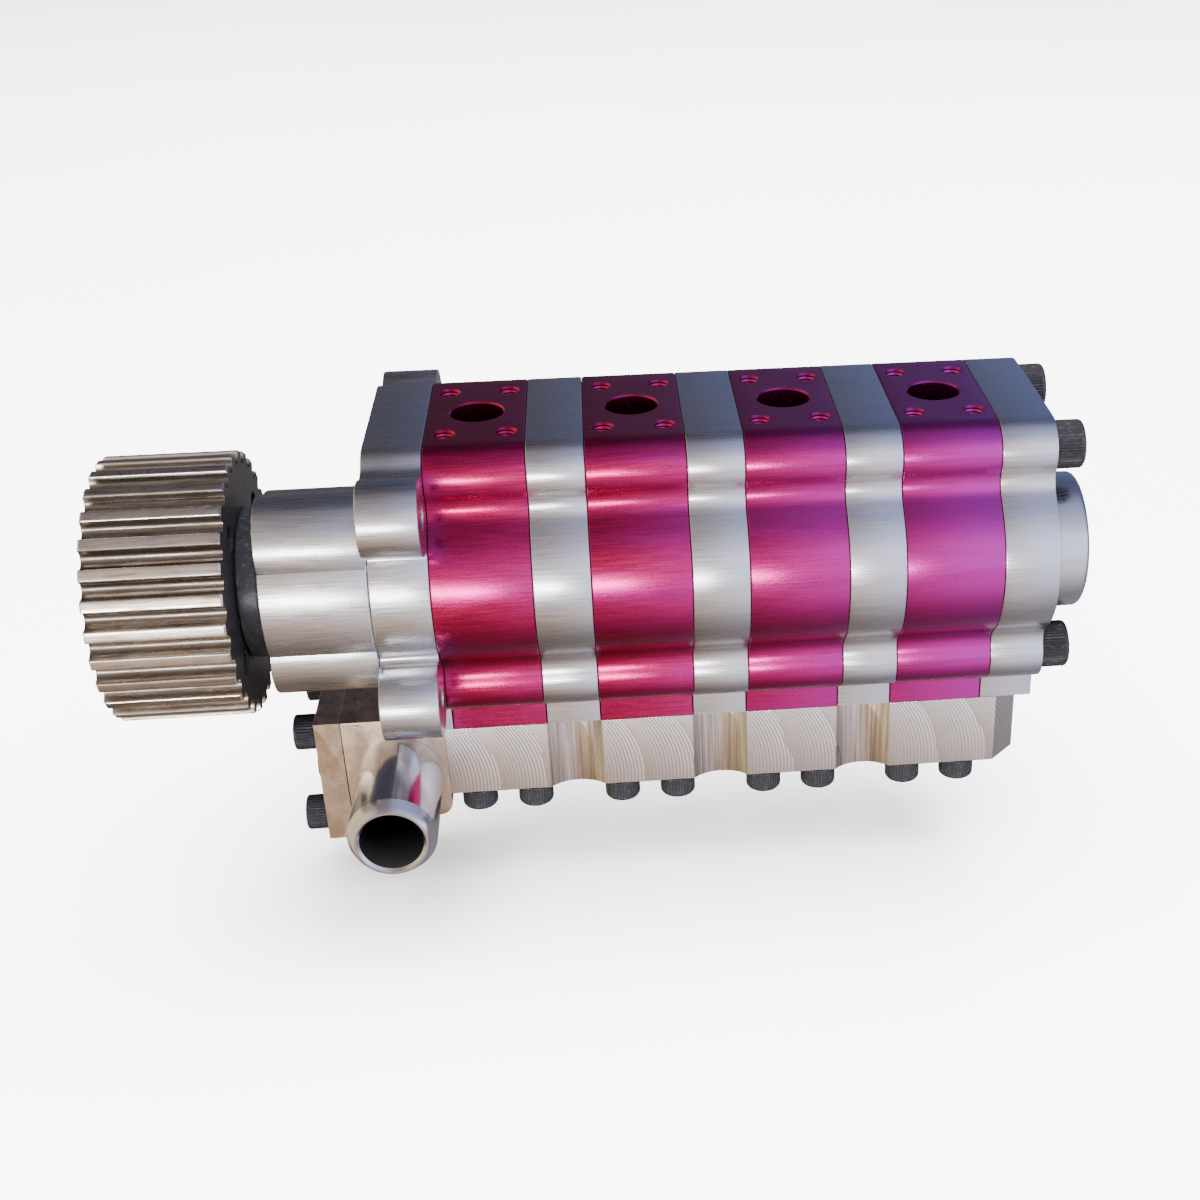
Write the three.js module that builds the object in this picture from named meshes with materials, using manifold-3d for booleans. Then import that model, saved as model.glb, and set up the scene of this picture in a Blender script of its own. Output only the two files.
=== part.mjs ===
// Four-stage, twin-shaft gear pump with a toothed belt pulley.
// Millimetres. +X runs from the drive end to the rear, +Y across the two shafts, +Z up.
// Origin: the drive shaft's axis, in the plane of the front cover's mounting face.
import * as THREE from "three";
import { mergeVertices } from "three/addons/utils/BufferGeometryUtils.js";
import Module from "manifold-3d";

const wasm = await Module();
wasm.setup();

// ---------------------------------------------------------------- sizes: housing stack
const STAGES = 4;
const COVER_LENGTH = 15.4;
const SECTION_LENGTH = 26;
const SEPARATOR_LENGTH = 15;
const END_LENGTH = 14.8;
const JOINT_GAP = 0.1;
const SHAFT_CENTRES = 33;
const BARREL_RADIUS = 24.3;
const LOBE_RADIUS = 8.5;
const BOLT_HALF_Y = 21.5;
const BOLT_HALF_Z = 30.2;
const WAIST_FILLET = 6;
const FOOT_HALF_WIDTH = 19.6;
const FOOT_HEIGHT = 8.9;
// ---------------------------------------------------------------- sizes: mounting ears
const EAR_RADIUS = 10;
const EAR_HALF_Y = 39;
const EAR_HALF_Z = 26.4;
const EAR_HOLE_RADIUS = 3.3;
const EAR_FILLET = 2;
// ---------------------------------------------------------------- sizes: rotors and shafts
const GEAR_TEETH = 11;
const GEAR_TIP_ADDENDUM = 2.4;
const GEAR_DEDENDUM = 3.4;
const GEAR_PRESSURE_ANGLE = (25 * Math.PI) / 180;
const GEAR_BACKLASH = 0.55;
const GEAR_ROOT_FLARE = 0.03; // radians
const TIP_CLEARANCE = 0.3;
const SIDE_CLEARANCE = 0.2;
const SHAFT_RADIUS = 7.5;
const RUNNING_CLEARANCE = 0.2;
const KEYED_CLEARANCE = 0.1;
const SHAFT_END_GAP = 0.5;
const IDLER_POCKET = 11;
// ---------------------------------------------------------------- sizes: bearings and seal
const BEARING_RADIUS = 14;
const BEARING_WIDTH = 7;
const SEAL_WIDTH = 5;
const SEAT_CLEARANCE = 0.1;
// ---------------------------------------------------------------- sizes: nose housing
const NOSE_LENGTH = 27.9;
const NOSE_RADIUS = 24;
const NOSE_LOBES = 3;
const NOSE_LOBE_RADIUS = 12.5;
const NOSE_LOBE_BACK = 4.5; // lobe's centre inside the screws' circle
const NOSE_SCREW_WALL = 0.5; // between a screw's tip and the idler shaft
const NOSE_SPIGOT_RADIUS = 16.5;
const NOSE_SPIGOT_LENGTH = 4;
// ---------------------------------------------------------------- sizes: pulley and hub
const PULLEY_TEETH = 28;
const PULLEY_PITCH = 8;
const PULLEY_PITCH_LINE = 0.686;
const PULLEY_GROOVE_DEPTH = 3.4;
const PULLEY_GROOVE_WIDTH = 4.7;
const PULLEY_WALL_DEPTH = 2.38;
const PULLEY_FLOOR_SHARE = 0.75;
const PULLEY_WIDTH = 34.4;
const PULLEY_RECESS_RADIUS = 20;
const PULLEY_RECESS_DEPTH = 10.4;
const PULLEY_HOLES = 4;
const PULLEY_HOLE_RADIUS = 3;
const PULLEY_HOLE_OFFSET = 24;
const PULLEY_HOLE_TURN = 0.4; // of a quarter turn
const HUB_RADIUS = 20;
const HUB_LENGTH = 5.6;
const HUB_SPIGOT_RADIUS = 14;
const HUB_GAP = 0.5;
const WASHER_RADIUS = 13;
const WASHER_THICKNESS = 2.5;
// ---------------------------------------------------------------- sizes: rear cap
const CAP_RADIUS = 18.5;
const CAP_LENGTH = 9.3;
const CAP_EDGE = 1.8;
const CAP_POCKET_RADIUS = 11;
const CAP_POCKET_DEPTH = 4;
// ---------------------------------------------------------------- sizes: ports and manifold
const PORT_RADIUS = 7;
const PORT_SCREW_HALF_X = 8;
const PORT_SCREW_HALF_Y = 15;
const PORT_TAP_RADIUS = 2.5;
const PORT_TAP_DEPTH = 5.5;
const RAIL_HEIGHT = 21.5;
const RAIL_TAIL = 12;
const RAIL_CHAMFER = 7.2;
const SCALLOP_RADIUS = 11;
const SCALLOP_DEPTH = 3.2;
const GALLERY_DROP = 11;
const COLLECTOR_FRONT = 15.7;
const COLLECTOR_REAR = 12.7;
const COLLECTOR_RISE = 4;
const COLLECTOR_DROP = 12.6;
const COLLECTOR_STEP = 5.7;
const COLLECTOR_STEP_X = 2;
const COLLECTOR_CORNER = 3.7;
const PLATE_THICKNESS = 7.3;
const PLATE_SCREW_HALF = 13.5;
// ---------------------------------------------------------------- sizes: outlet tube
const TUBE_RADIUS = 12;
const TUBE_BORE = 8.5;
const TUBE_LENGTH = 33.6;
const TUBE_CHAMFER = 3.5;
const TUBE_CHAMFER_DEPTH = 2.1;
const TUBE_LIP = 0.7;
const TUBE_SPIGOT_RADIUS = 10;
const TUBE_SPIGOT_LENGTH = 10;
const TUBE_X = -0.6;
const TUBE_DROP = 13.8;
// ---------------------------------------------------------------- sizes: screws
const M8 = { shank: 4, head: 6.5, height: 8, hex: 3, socket: 4 };
const M6 = { shank: 3, head: 5, height: 6, hex: 2.5, socket: 3 };
const HOLE_CLEARANCE = 0.2;
const HEAD_GAP = 0.1;
const BOLT_THREAD = 11;
const MANIFOLD_THREAD = 11;
const PLATE_THREAD = 8.6;
const NOSE_THREAD = 9;
const PULLEY_THREAD = 20;
const TIP_GAP = 0.5;
// ---------------------------------------------------------------- facets round a circle
const HOLE_SIDES = 8;
const WEB_HOLE_SIDES = 10;
const SINK_SIDES = 12;
const SCREW_SIDES = 10;
const SHANK_SIDES = 6;
const PORT_SIDES = 14;
const SHAFT_SIDES = 14;
const ROUND_SIDES = 24;

// ---------------------------------------------------------------- derived positions
const MID_Y = SHAFT_CENTRES / 2;
const TOP_Z = BOLT_HALF_Z + LOBE_RADIUS;
const FOOT_Z = -TOP_Z - FOOT_HEIGHT;
const PITCH = SECTION_LENGTH + SEPARATOR_LENGTH;
const sectionStart = (i) => COVER_LENGTH + i * PITCH;
const sectionCentre = (i) => sectionStart(i) + SECTION_LENGTH / 2;
const STACK_END = sectionStart(STAGES - 1) + SECTION_LENGTH;
const REAR_X = STACK_END + END_LENGTH;
const PITCH_RADIUS = SHAFT_CENTRES / 2;
const GEAR_TIP = PITCH_RADIUS + GEAR_TIP_ADDENDUM;
const CHAMBER_RADIUS = GEAR_TIP + TIP_CLEARANCE;
const NOSE_FRONT = -NOSE_LENGTH;
const NOSE_SCREW_OFFSET = SHAFT_CENTRES - SHAFT_RADIUS - M6.shank - NOSE_SCREW_WALL;
const NOSE_LOBE_OFFSET = NOSE_SCREW_OFFSET - NOSE_LOBE_BACK;
const HUB_REAR = NOSE_FRONT - HUB_GAP;
const PULLEY_REAR = HUB_REAR - HUB_LENGTH;
const PULLEY_FRONT = PULLEY_REAR - PULLEY_WIDTH;
const PULLEY_RADIUS = (PULLEY_TEETH * PULLEY_PITCH) / (2 * Math.PI) - PULLEY_PITCH_LINE;
const SPIGOT_FRONT = PULLEY_FRONT + PULLEY_RECESS_DEPTH;
const RAIL_TOP = FOOT_Z - JOINT_GAP;
const RAIL_BOTTOM = RAIL_TOP - RAIL_HEIGHT;
const RAIL_NEAR = MID_Y - FOOT_HALF_WIDTH;
const RAIL_FAR = MID_Y + FOOT_HALF_WIDTH;
const RAIL_END = STACK_END + RAIL_TAIL;
const GALLERY_Z = RAIL_TOP - GALLERY_DROP;
const TUBE_Z = RAIL_TOP - TUBE_DROP;
const COLLECTOR_TOP = RAIL_TOP + COLLECTOR_RISE;
const COLLECTOR_BOTTOM = RAIL_BOTTOM - COLLECTOR_DROP;
const PLATE_CENTRE_Z = (COLLECTOR_TOP + COLLECTOR_BOTTOM) / 2;

// ---------------------------------------------------------------- finishes
const finish = (color, roughness, metalness) =>
  new THREE.MeshStandardMaterial({ color, roughness, metalness });
const ANODISED = finish(0xa51e5b, 0.32, 0.9);
const BRUSHED = finish(0xb9b9bd, 0.34, 1);
const MACHINED = finish(0xc3beb6, 0.38, 1);
const TURNED = finish(0xb4b3b5, 0.22, 1);
const PASSIVATED = finish(0xb39c78, 0.36, 1);
const BLACK_OXIDE = finish(0x18181a, 0.42, 0.8);
const STEEL = finish(0x8d8f93, 0.3, 1);
const RUBBER = finish(0x151515, 0.8, 0);

// ---------------------------------------------------------------- geometry helpers
const TO_X = new THREE.Matrix4().makeBasis(
  new THREE.Vector3(0, 1, 0),
  new THREE.Vector3(0, 0, 1),
  new THREE.Vector3(1, 0, 0),
);
const TO_Y = new THREE.Matrix4().makeBasis(
  new THREE.Vector3(0, 0, 1),
  new THREE.Vector3(1, 0, 0),
  new THREE.Vector3(0, 1, 0),
);
const AXES = { x: TO_X, y: TO_Y, z: new THREE.Matrix4() };

// A closed outline in the plane across an axis, swept from one place on it to another.
// Across x the outline's pair is (y, z), across y it is (z, x), across z it is (x, y).
function prism(axis, outline, from, to) {
  const shape = new THREE.Shape(outline.map(([a, b]) => new THREE.Vector2(a, b)));
  const geometry = new THREE.ExtrudeGeometry(shape, {
    depth: to - from,
    bevelEnabled: false,
    steps: 1,
  });
  geometry.translate(0, 0, from);
  return geometry.applyMatrix4(AXES[axis]);
}

function circle(a, b, radius, sides, phase = 0) {
  const points = [];
  for (let i = 0; i < sides; i += 1) {
    const t = phase + (2 * Math.PI * i) / sides;
    points.push([a + radius * Math.cos(t), b + radius * Math.sin(t)]);
  }
  return points;
}

// A round pin: its corners lie on the radius.
function pin(axis, a, b, radius, from, to, sides = ROUND_SIDES) {
  return prism(axis, circle(a, b, radius, sides), from, to);
}

// A round hole's tool: its flats lie on the radius, so a pin of that radius passes.
function bore(axis, a, b, radius, from, to, sides = ROUND_SIDES) {
  return pin(axis, a, b, radius / Math.cos(Math.PI / sides), from, to, sides);
}

// A profile of [radius, place along the axis], turned about that axis.
function turned(axis, a, b, profile, sides = ROUND_SIDES) {
  const points = profile.map(([r, s]) => new THREE.Vector2(r, s));
  const geometry = new THREE.LatheGeometry(points, sides);
  geometry.rotateX(Math.PI / 2);
  geometry.translate(a, b, 0);
  return geometry.applyMatrix4(AXES[axis]);
}

function ring(axis, a, b, inner, outer, from, to, sides = ROUND_SIDES) {
  const body = pin(axis, a, b, outer, from, to, sides);
  return cut(body, [bore(axis, a, b, inner, from - 1, to + 1, SHAFT_SIDES)]);
}

function toSolid(geometry) {
  const bare = geometry.clone();
  for (const name of ["normal", "uv"]) {
    bare.deleteAttribute(name);
  }
  const merged = mergeVertices(bare, 1e-4);
  const mesh = new wasm.Mesh({
    numProp: 3,
    vertProperties: new Float32Array(merged.attributes.position.array),
    triVerts: new Uint32Array(merged.index.array),
  });
  return new wasm.Manifold(mesh);
}

function toGeometry(solid) {
  const mesh = solid.getMesh();
  const geometry = new THREE.BufferGeometry();
  geometry.setAttribute("position", new THREE.BufferAttribute(mesh.vertProperties, 3));
  geometry.setIndex(new THREE.BufferAttribute(mesh.triVerts, 1));
  geometry.computeVertexNormals();
  return geometry;
}

function cut(geometry, tools) {
  let solid = toSolid(geometry);
  for (const tool of tools) {
    solid = solid.subtract(toSolid(tool));
  }
  return toGeometry(solid);
}

function join(geometries) {
  const [first, ...rest] = geometries.map(toSolid);
  return toGeometry(rest.reduce((sum, next) => sum.add(next), first));
}

const group = new THREE.Group();

function piece(name, geometry, material) {
  const mesh = new THREE.Mesh(geometry, material);
  mesh.name = name;
  group.add(mesh);
}

// ---------------------------------------------------------------- outline helpers
// Points along an arc, from one angle to another, either way round.
function arc([a, b], radius, from, to, steps) {
  const points = [];
  for (let i = 0; i <= steps; i += 1) {
    const t = from + ((to - from) * i) / steps;
    points.push([a + radius * Math.cos(t), b + radius * Math.sin(t)]);
  }
  return points;
}

const angle = (from, to) => Math.atan2(to[1] - from[1], to[0] - from[0]);

// The angle moved by whole turns to follow another, counter-clockwise (+1) or clockwise (-1).
function following(value, reference, way) {
  let t = value;
  while (way * (t - reference) < 0) {
    t += way * 2 * Math.PI;
  }
  while (way * (t - reference) >= 2 * Math.PI) {
    t -= way * 2 * Math.PI;
  }
  return t;
}

// Centre of the fillet that touches two circles from outside, to the right of first -> second.
function filletCentre(c1, r1, c2, r2, fillet) {
  const d = Math.hypot(c2[0] - c1[0], c2[1] - c1[1]);
  const d1 = r1 + fillet;
  const d2 = r2 + fillet;
  const along = (d1 * d1 - d2 * d2 + d * d) / (2 * d);
  const off = Math.sqrt(Math.max(d1 * d1 - along * along, 0));
  const u = [(c2[0] - c1[0]) / d, (c2[1] - c1[1]) / d];
  return [c1[0] + u[0] * along + u[1] * off, c1[1] + u[1] * along - u[0] * off];
}

// A run of circles walked counter-clockwise, each joined to the next by a concave fillet.
function filletedRun(circles, fillets, start, end) {
  const points = [];
  let from = start;
  circles.forEach((item, i) => {
    const last = i === circles.length - 1;
    if (last) {
      points.push(...arc(item.c, item.r, from, following(end, from, 1), item.n));
      return;
    }
    const next = circles[i + 1];
    const centre = filletCentre(item.c, item.r, next.c, next.r, fillets[i]);
    const leave = following(angle(item.c, centre), from, 1);
    points.push(...arc(item.c, item.r, from, leave, item.n));
    const begin = angle(centre, item.c);
    const finishAngle = following(angle(centre, next.c), begin, -1);
    points.push(...arc(centre, fillets[i], begin, finishAngle, 2).slice(1, -1));
    from = angle(next.c, centre);
  });
  return points;
}

const mirrored = (points) => points.map(([y, z]) => [2 * MID_Y - y, z]).reverse();

// Half outline of the stack on the drive side, from the top flat down to the foot.
function driveSide(withEars) {
  const upper = { c: [MID_Y - BOLT_HALF_Y, BOLT_HALF_Z], r: LOBE_RADIUS, n: 4 };
  const barrel = { c: [0, 0], r: BARREL_RADIUS, n: 8 };
  const lower = { c: [MID_Y - BOLT_HALF_Y, -BOLT_HALF_Z], r: LOBE_RADIUS, n: 4 };
  const earUp = { c: [MID_Y - EAR_HALF_Y, EAR_HALF_Z], r: EAR_RADIUS, n: 7 };
  const earDown = { c: [MID_Y - EAR_HALF_Y, -EAR_HALF_Z], r: EAR_RADIUS, n: 7 };
  const plain = [upper, barrel, lower];
  const eared = [upper, earUp, barrel, earDown, lower];
  const fillets = withEars
    ? [WAIST_FILLET, EAR_FILLET, EAR_FILLET, WAIST_FILLET]
    : [WAIST_FILLET, WAIST_FILLET];
  const run = filletedRun(withEars ? eared : plain, fillets, Math.PI / 2, 1.5 * Math.PI);
  run.push([MID_Y - FOOT_HALF_WIDTH, -TOP_Z]);
  run.push([MID_Y - FOOT_HALF_WIDTH, FOOT_Z]);
  return run;
}

function stackOutline(withEars) {
  const near = driveSide(withEars);
  return [...near, ...mirrored(near)];
}

// ---------------------------------------------------------------- screws
// A socket-head screw along an axis. "way" is +1 or -1: where the shank points.
function screw(axis, a, b, seat, way, size, length, sides = SCREW_SIDES) {
  const headEnd = seat - way * size.height;
  const span = (p, q) => [Math.min(p, q), Math.max(p, q)];
  const head = pin(axis, a, b, size.head, ...span(headEnd, seat), sides);
  const shankSpan = span(seat - way, seat + way * length);
  const shank = pin(axis, a, b, size.shank, ...shankSpan, SHANK_SIDES);
  const socketEnd = headEnd + way * size.socket;
  const corner = size.hex / Math.cos(Math.PI / 6);
  const socket = pin(axis, a, b, corner, ...span(headEnd - way, socketEnd), 6);
  return cut(join([head, shank]), [socket]);
}

const boltPlaces = [];
for (const side of [-1, 1]) {
  for (const level of [1, -1]) {
    boltPlaces.push([MID_Y + side * BOLT_HALF_Y, level * BOLT_HALF_Z]);
  }
}
const boltHoles = (from, to) =>
  boltPlaces.map(([y, z]) => bore("x", y, z, M8.shank + HOLE_CLEARANCE, from, to, SHANK_SIDES));

const portScrews = [];
for (const sx of [-1, 1]) {
  for (const sy of [-1, 1]) {
    portScrews.push([sx * PORT_SCREW_HALF_X, MID_Y + sy * PORT_SCREW_HALF_Y]);
  }
}

// ---------------------------------------------------------------- front cover with ears
{
  const tools = [];
  for (const side of [-1, 1]) {
    for (const level of [1, -1]) {
      const y = MID_Y + side * EAR_HALF_Y;
      const z = level * EAR_HALF_Z;
      tools.push(bore("x", y, z, EAR_HOLE_RADIUS, -1, COVER_LENGTH + 1, SINK_SIDES));
    }
  }
  const threadStart = COVER_LENGTH - BOLT_THREAD - TIP_GAP;
  tools.push(...boltHoles(threadStart, COVER_LENGTH + 1));
  const spigotSeat = NOSE_SPIGOT_LENGTH + TIP_GAP;
  tools.push(bore("x", 0, 0, NOSE_SPIGOT_RADIUS + SEAT_CLEARANCE, -1, spigotSeat));
  tools.push(bore("x", 0, 0, SHAFT_RADIUS + RUNNING_CLEARANCE, -1, COVER_LENGTH + 1, SHAFT_SIDES));
  const pocket = COVER_LENGTH - IDLER_POCKET;
  const idlerBore = SHAFT_RADIUS + RUNNING_CLEARANCE;
  tools.push(bore("x", SHAFT_CENTRES, 0, idlerBore, pocket, COVER_LENGTH + 1, SHAFT_SIDES));
  for (let k = 0; k < NOSE_LOBES; k += 1) {
    const t = (2 * Math.PI * k) / NOSE_LOBES;
    const y = NOSE_SCREW_OFFSET * Math.cos(t);
    const z = NOSE_SCREW_OFFSET * Math.sin(t);
    const deep = NOSE_THREAD + TIP_GAP;
    tools.push(bore("x", y, z, M6.shank + HOLE_CLEARANCE, -1, deep, HOLE_SIDES));
  }
  const body = prism("x", stackOutline(true), 0, COVER_LENGTH - JOINT_GAP);
  piece("front_cover", cut(body, tools), BRUSHED);
}

// ---------------------------------------------------------------- pump sections
for (let i = 0; i < STAGES; i += 1) {
  const from = sectionStart(i);
  const to = from + SECTION_LENGTH;
  const centre = sectionCentre(i);
  const tools = [
    bore("x", 0, 0, CHAMBER_RADIUS, from - 1, to + 1),
    bore("x", SHAFT_CENTRES, 0, CHAMBER_RADIUS, from - 1, to + 1),
    bore("z", centre, MID_Y, PORT_RADIUS, FOOT_Z - 1, TOP_Z + 1, PORT_SIDES),
    ...boltHoles(from - 1, to + 1),
  ];
  for (const [dx, y] of portScrews) {
    const x = centre + dx;
    const tapEnd = TOP_Z - PORT_TAP_DEPTH;
    tools.push(bore("z", x, y, PORT_TAP_RADIUS, tapEnd, TOP_Z + 1, HOLE_SIDES));
    const deep = FOOT_Z + MANIFOLD_THREAD + TIP_GAP;
    const radius = M6.shank + HOLE_CLEARANCE;
    tools.push(bore("z", x, y, radius, FOOT_Z - 1, deep, SHANK_SIDES));
  }
  const body = prism("x", stackOutline(false), from, to - JOINT_GAP);
  piece(`pump_section_${i + 1}`, cut(body, tools), ANODISED);
}

// ---------------------------------------------------------------- separators
for (let i = 0; i < STAGES - 1; i += 1) {
  const from = sectionStart(i) + SECTION_LENGTH;
  const to = from + SEPARATOR_LENGTH;
  const tools = [
    bore("x", 0, 0, SHAFT_RADIUS + RUNNING_CLEARANCE, from - 1, to + 1, SHAFT_SIDES),
    bore("x", SHAFT_CENTRES, 0, SHAFT_RADIUS + RUNNING_CLEARANCE, from - 1, to + 1, SHAFT_SIDES),
    ...boltHoles(from - 1, to + 1),
  ];
  const body = prism("x", stackOutline(false), from, to - JOINT_GAP);
  piece(`separator_${i + 1}`, cut(body, tools), BRUSHED);
}

// ---------------------------------------------------------------- end cover
{
  const seat = REAR_X - BEARING_WIDTH - SEAT_CLEARANCE;
  const idlerBore = SHAFT_RADIUS + RUNNING_CLEARANCE;
  const tools = [
    bore("x", 0, 0, SHAFT_RADIUS + RUNNING_CLEARANCE, STACK_END - 1, REAR_X + 1, SHAFT_SIDES),
    bore("x", 0, 0, BEARING_RADIUS + SEAT_CLEARANCE, seat, REAR_X + 1),
    bore("x", SHAFT_CENTRES, 0, idlerBore, STACK_END - 1, STACK_END + IDLER_POCKET, SHAFT_SIDES),
    ...boltHoles(STACK_END - 1, REAR_X + 1),
  ];
  const body = prism("x", stackOutline(false), STACK_END, REAR_X);
  piece("end_cover", cut(body, tools), BRUSHED);
}

// ---------------------------------------------------------------- rear bearing and cap
piece(
  "rear_bearing",
  ring(
    "x",
    0,
    0,
    SHAFT_RADIUS + KEYED_CLEARANCE,
    BEARING_RADIUS,
    REAR_X - BEARING_WIDTH,
    REAR_X,
  ),
  STEEL,
);
{
  const from = REAR_X + JOINT_GAP;
  const to = from + CAP_LENGTH;
  const eased = CAP_EDGE * (1 - Math.SQRT1_2);
  const profile = [
    [0, from],
    [CAP_RADIUS, from],
    [CAP_RADIUS, to - CAP_EDGE],
    [CAP_RADIUS - eased, to - eased],
    [CAP_RADIUS - CAP_EDGE, to],
    [0, to],
  ];
  const pocket = bore("x", 0, 0, CAP_POCKET_RADIUS, from - 1, from + CAP_POCKET_DEPTH);
  piece("rear_cap", cut(turned("x", 0, 0, profile), [pocket]), BRUSHED);
}

// ---------------------------------------------------------------- nose housing
function noseOutline() {
  const { cos, sin, atan2, acos } = Math;
  const r = NOSE_RADIUS;
  const l = NOSE_LOBE_OFFSET;
  const q = NOSE_LOBE_RADIUS;
  const half = acos((r * r + l * l - q * q) / (2 * r * l));
  const local = atan2(r * sin(half), r * cos(half) - l);
  const points = [];
  for (let k = 0; k < NOSE_LOBES; k += 1) {
    const t = (2 * Math.PI * k) / NOSE_LOBES;
    const next = (2 * Math.PI * (k + 1)) / NOSE_LOBES;
    const centre = [l * cos(t), l * sin(t)];
    points.push(...arc(centre, q, t - local, t + local, 8));
    points.push(...arc([0, 0], r, t + half, next - half, 5).slice(1, -1));
  }
  return points;
}
{
  const face = -JOINT_GAP;
  const seatEnd = NOSE_FRONT + SEAL_WIDTH + BEARING_WIDTH + 3 * SEAT_CLEARANCE;
  const tools = [
    bore("x", 0, 0, BEARING_RADIUS + SEAT_CLEARANCE, NOSE_FRONT - 1, seatEnd),
    bore("x", 0, 0, SHAFT_RADIUS + RUNNING_CLEARANCE, NOSE_FRONT - 1, COVER_LENGTH, SHAFT_SIDES),
  ];
  for (let k = 0; k < NOSE_LOBES; k += 1) {
    const t = (2 * Math.PI * k) / NOSE_LOBES;
    const y = NOSE_SCREW_OFFSET * Math.cos(t);
    const z = NOSE_SCREW_OFFSET * Math.sin(t);
    const sunk = NOSE_FRONT + M6.height + TIP_GAP;
    tools.push(
      bore("x", y, z, M6.head + HOLE_CLEARANCE, NOSE_FRONT - 1, sunk, SINK_SIDES),
    );
    tools.push(bore("x", y, z, M6.shank + HOLE_CLEARANCE, NOSE_FRONT - 1, 1, HOLE_SIDES));
    const seat = sunk - HEAD_GAP;
    const length = -seat + NOSE_THREAD;
    piece(`nose_screw_${k + 1}`, screw("x", y, z, seat, 1, M6, length), BLACK_OXIDE);
  }
  const body = join([
    prism("x", noseOutline(), NOSE_FRONT, face),
    pin("x", 0, 0, NOSE_SPIGOT_RADIUS, face - 1, NOSE_SPIGOT_LENGTH),
  ]);
  piece("nose_housing", cut(body, tools), TURNED);
  const sealFrom = NOSE_FRONT + SEAT_CLEARANCE;
  const sealTo = sealFrom + SEAL_WIDTH;
  const shaftHole = SHAFT_RADIUS + RUNNING_CLEARANCE;
  const bearingFrom = sealTo + SEAT_CLEARANCE;
  const bearingTo = bearingFrom + BEARING_WIDTH;
  const fit = SHAFT_RADIUS + KEYED_CLEARANCE;
  piece("shaft_seal", ring("x", 0, 0, shaftHole, BEARING_RADIUS, sealFrom, sealTo), RUBBER);
  piece("front_bearing", ring("x", 0, 0, fit, BEARING_RADIUS, bearingFrom, bearingTo), STEEL);
}

// ---------------------------------------------------------------- shafts
{
  const front = SPIGOT_FRONT + SHAFT_END_GAP;
  const rear = REAR_X + CAP_POCKET_DEPTH / 2;
  const bodyShaft = pin("x", 0, 0, SHAFT_RADIUS, front, rear, SHAFT_SIDES);
  const deep = SPIGOT_FRONT + PULLEY_THREAD + TIP_GAP;
  const tapped = bore("x", 0, 0, M8.shank + HOLE_CLEARANCE, front - 1, deep, HOLE_SIDES);
  piece("drive_shaft", cut(bodyShaft, [tapped]), STEEL);
  const idlerFrom = COVER_LENGTH - IDLER_POCKET + SHAFT_END_GAP;
  const idlerTo = STACK_END + IDLER_POCKET - SHAFT_END_GAP;
  const idler = pin("x", SHAFT_CENTRES, 0, SHAFT_RADIUS, idlerFrom, idlerTo, SHAFT_SIDES);
  piece("idler_shaft", idler, STEEL);
}

// ---------------------------------------------------------------- rotors
// Involute flanks above the base circle, radial below it.
function gearOutline(cy, phase) {
  const base = PITCH_RADIUS * Math.cos(GEAR_PRESSURE_ANGLE);
  const root = PITCH_RADIUS - GEAR_DEDENDUM;
  const involute = (a) => Math.tan(a) - a;
  const atPitch = Math.PI / (2 * GEAR_TEETH) - GEAR_BACKLASH / (2 * PITCH_RADIUS);
  const half = (r) => {
    const a = r > base ? Math.acos(base / r) : 0;
    return atPitch + involute(GEAR_PRESSURE_ANGLE) - involute(a);
  };
  const low = Math.max(base, root);
  const radii = [low, GEAR_TIP];
  const points = [];
  for (let k = 0; k < GEAR_TEETH; k += 1) {
    const t = phase + (2 * Math.PI * k) / GEAR_TEETH;
    const at = (r, a) => points.push([cy + r * Math.cos(t + a), r * Math.sin(t + a)]);
    at(root, -half(low) - GEAR_ROOT_FLARE);
    radii.forEach((r) => at(r, -half(r)));
    [...radii].reverse().forEach((r) => at(r, half(r)));
    at(root, half(low) + GEAR_ROOT_FLARE);
  }
  return points;
}
for (let i = 0; i < STAGES; i += 1) {
  const from = sectionStart(i) + SIDE_CLEARANCE;
  const to = sectionStart(i) + SECTION_LENGTH - JOINT_GAP - SIDE_CLEARANCE;
  const fit = SHAFT_RADIUS + KEYED_CLEARANCE;
  const drive = prism("x", gearOutline(0, 0), from, to);
  const phase = Math.PI + Math.PI / GEAR_TEETH;
  const idler = prism("x", gearOutline(SHAFT_CENTRES, phase), from, to);
  const driveBore = bore("x", 0, 0, fit, from - 1, to + 1, SHAFT_SIDES);
  const idlerBore = bore("x", SHAFT_CENTRES, 0, fit, from - 1, to + 1, SHAFT_SIDES);
  piece(`drive_gear_${i + 1}`, cut(drive, [driveBore]), STEEL);
  piece(`idler_gear_${i + 1}`, cut(idler, [idlerBore]), STEEL);
}

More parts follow.
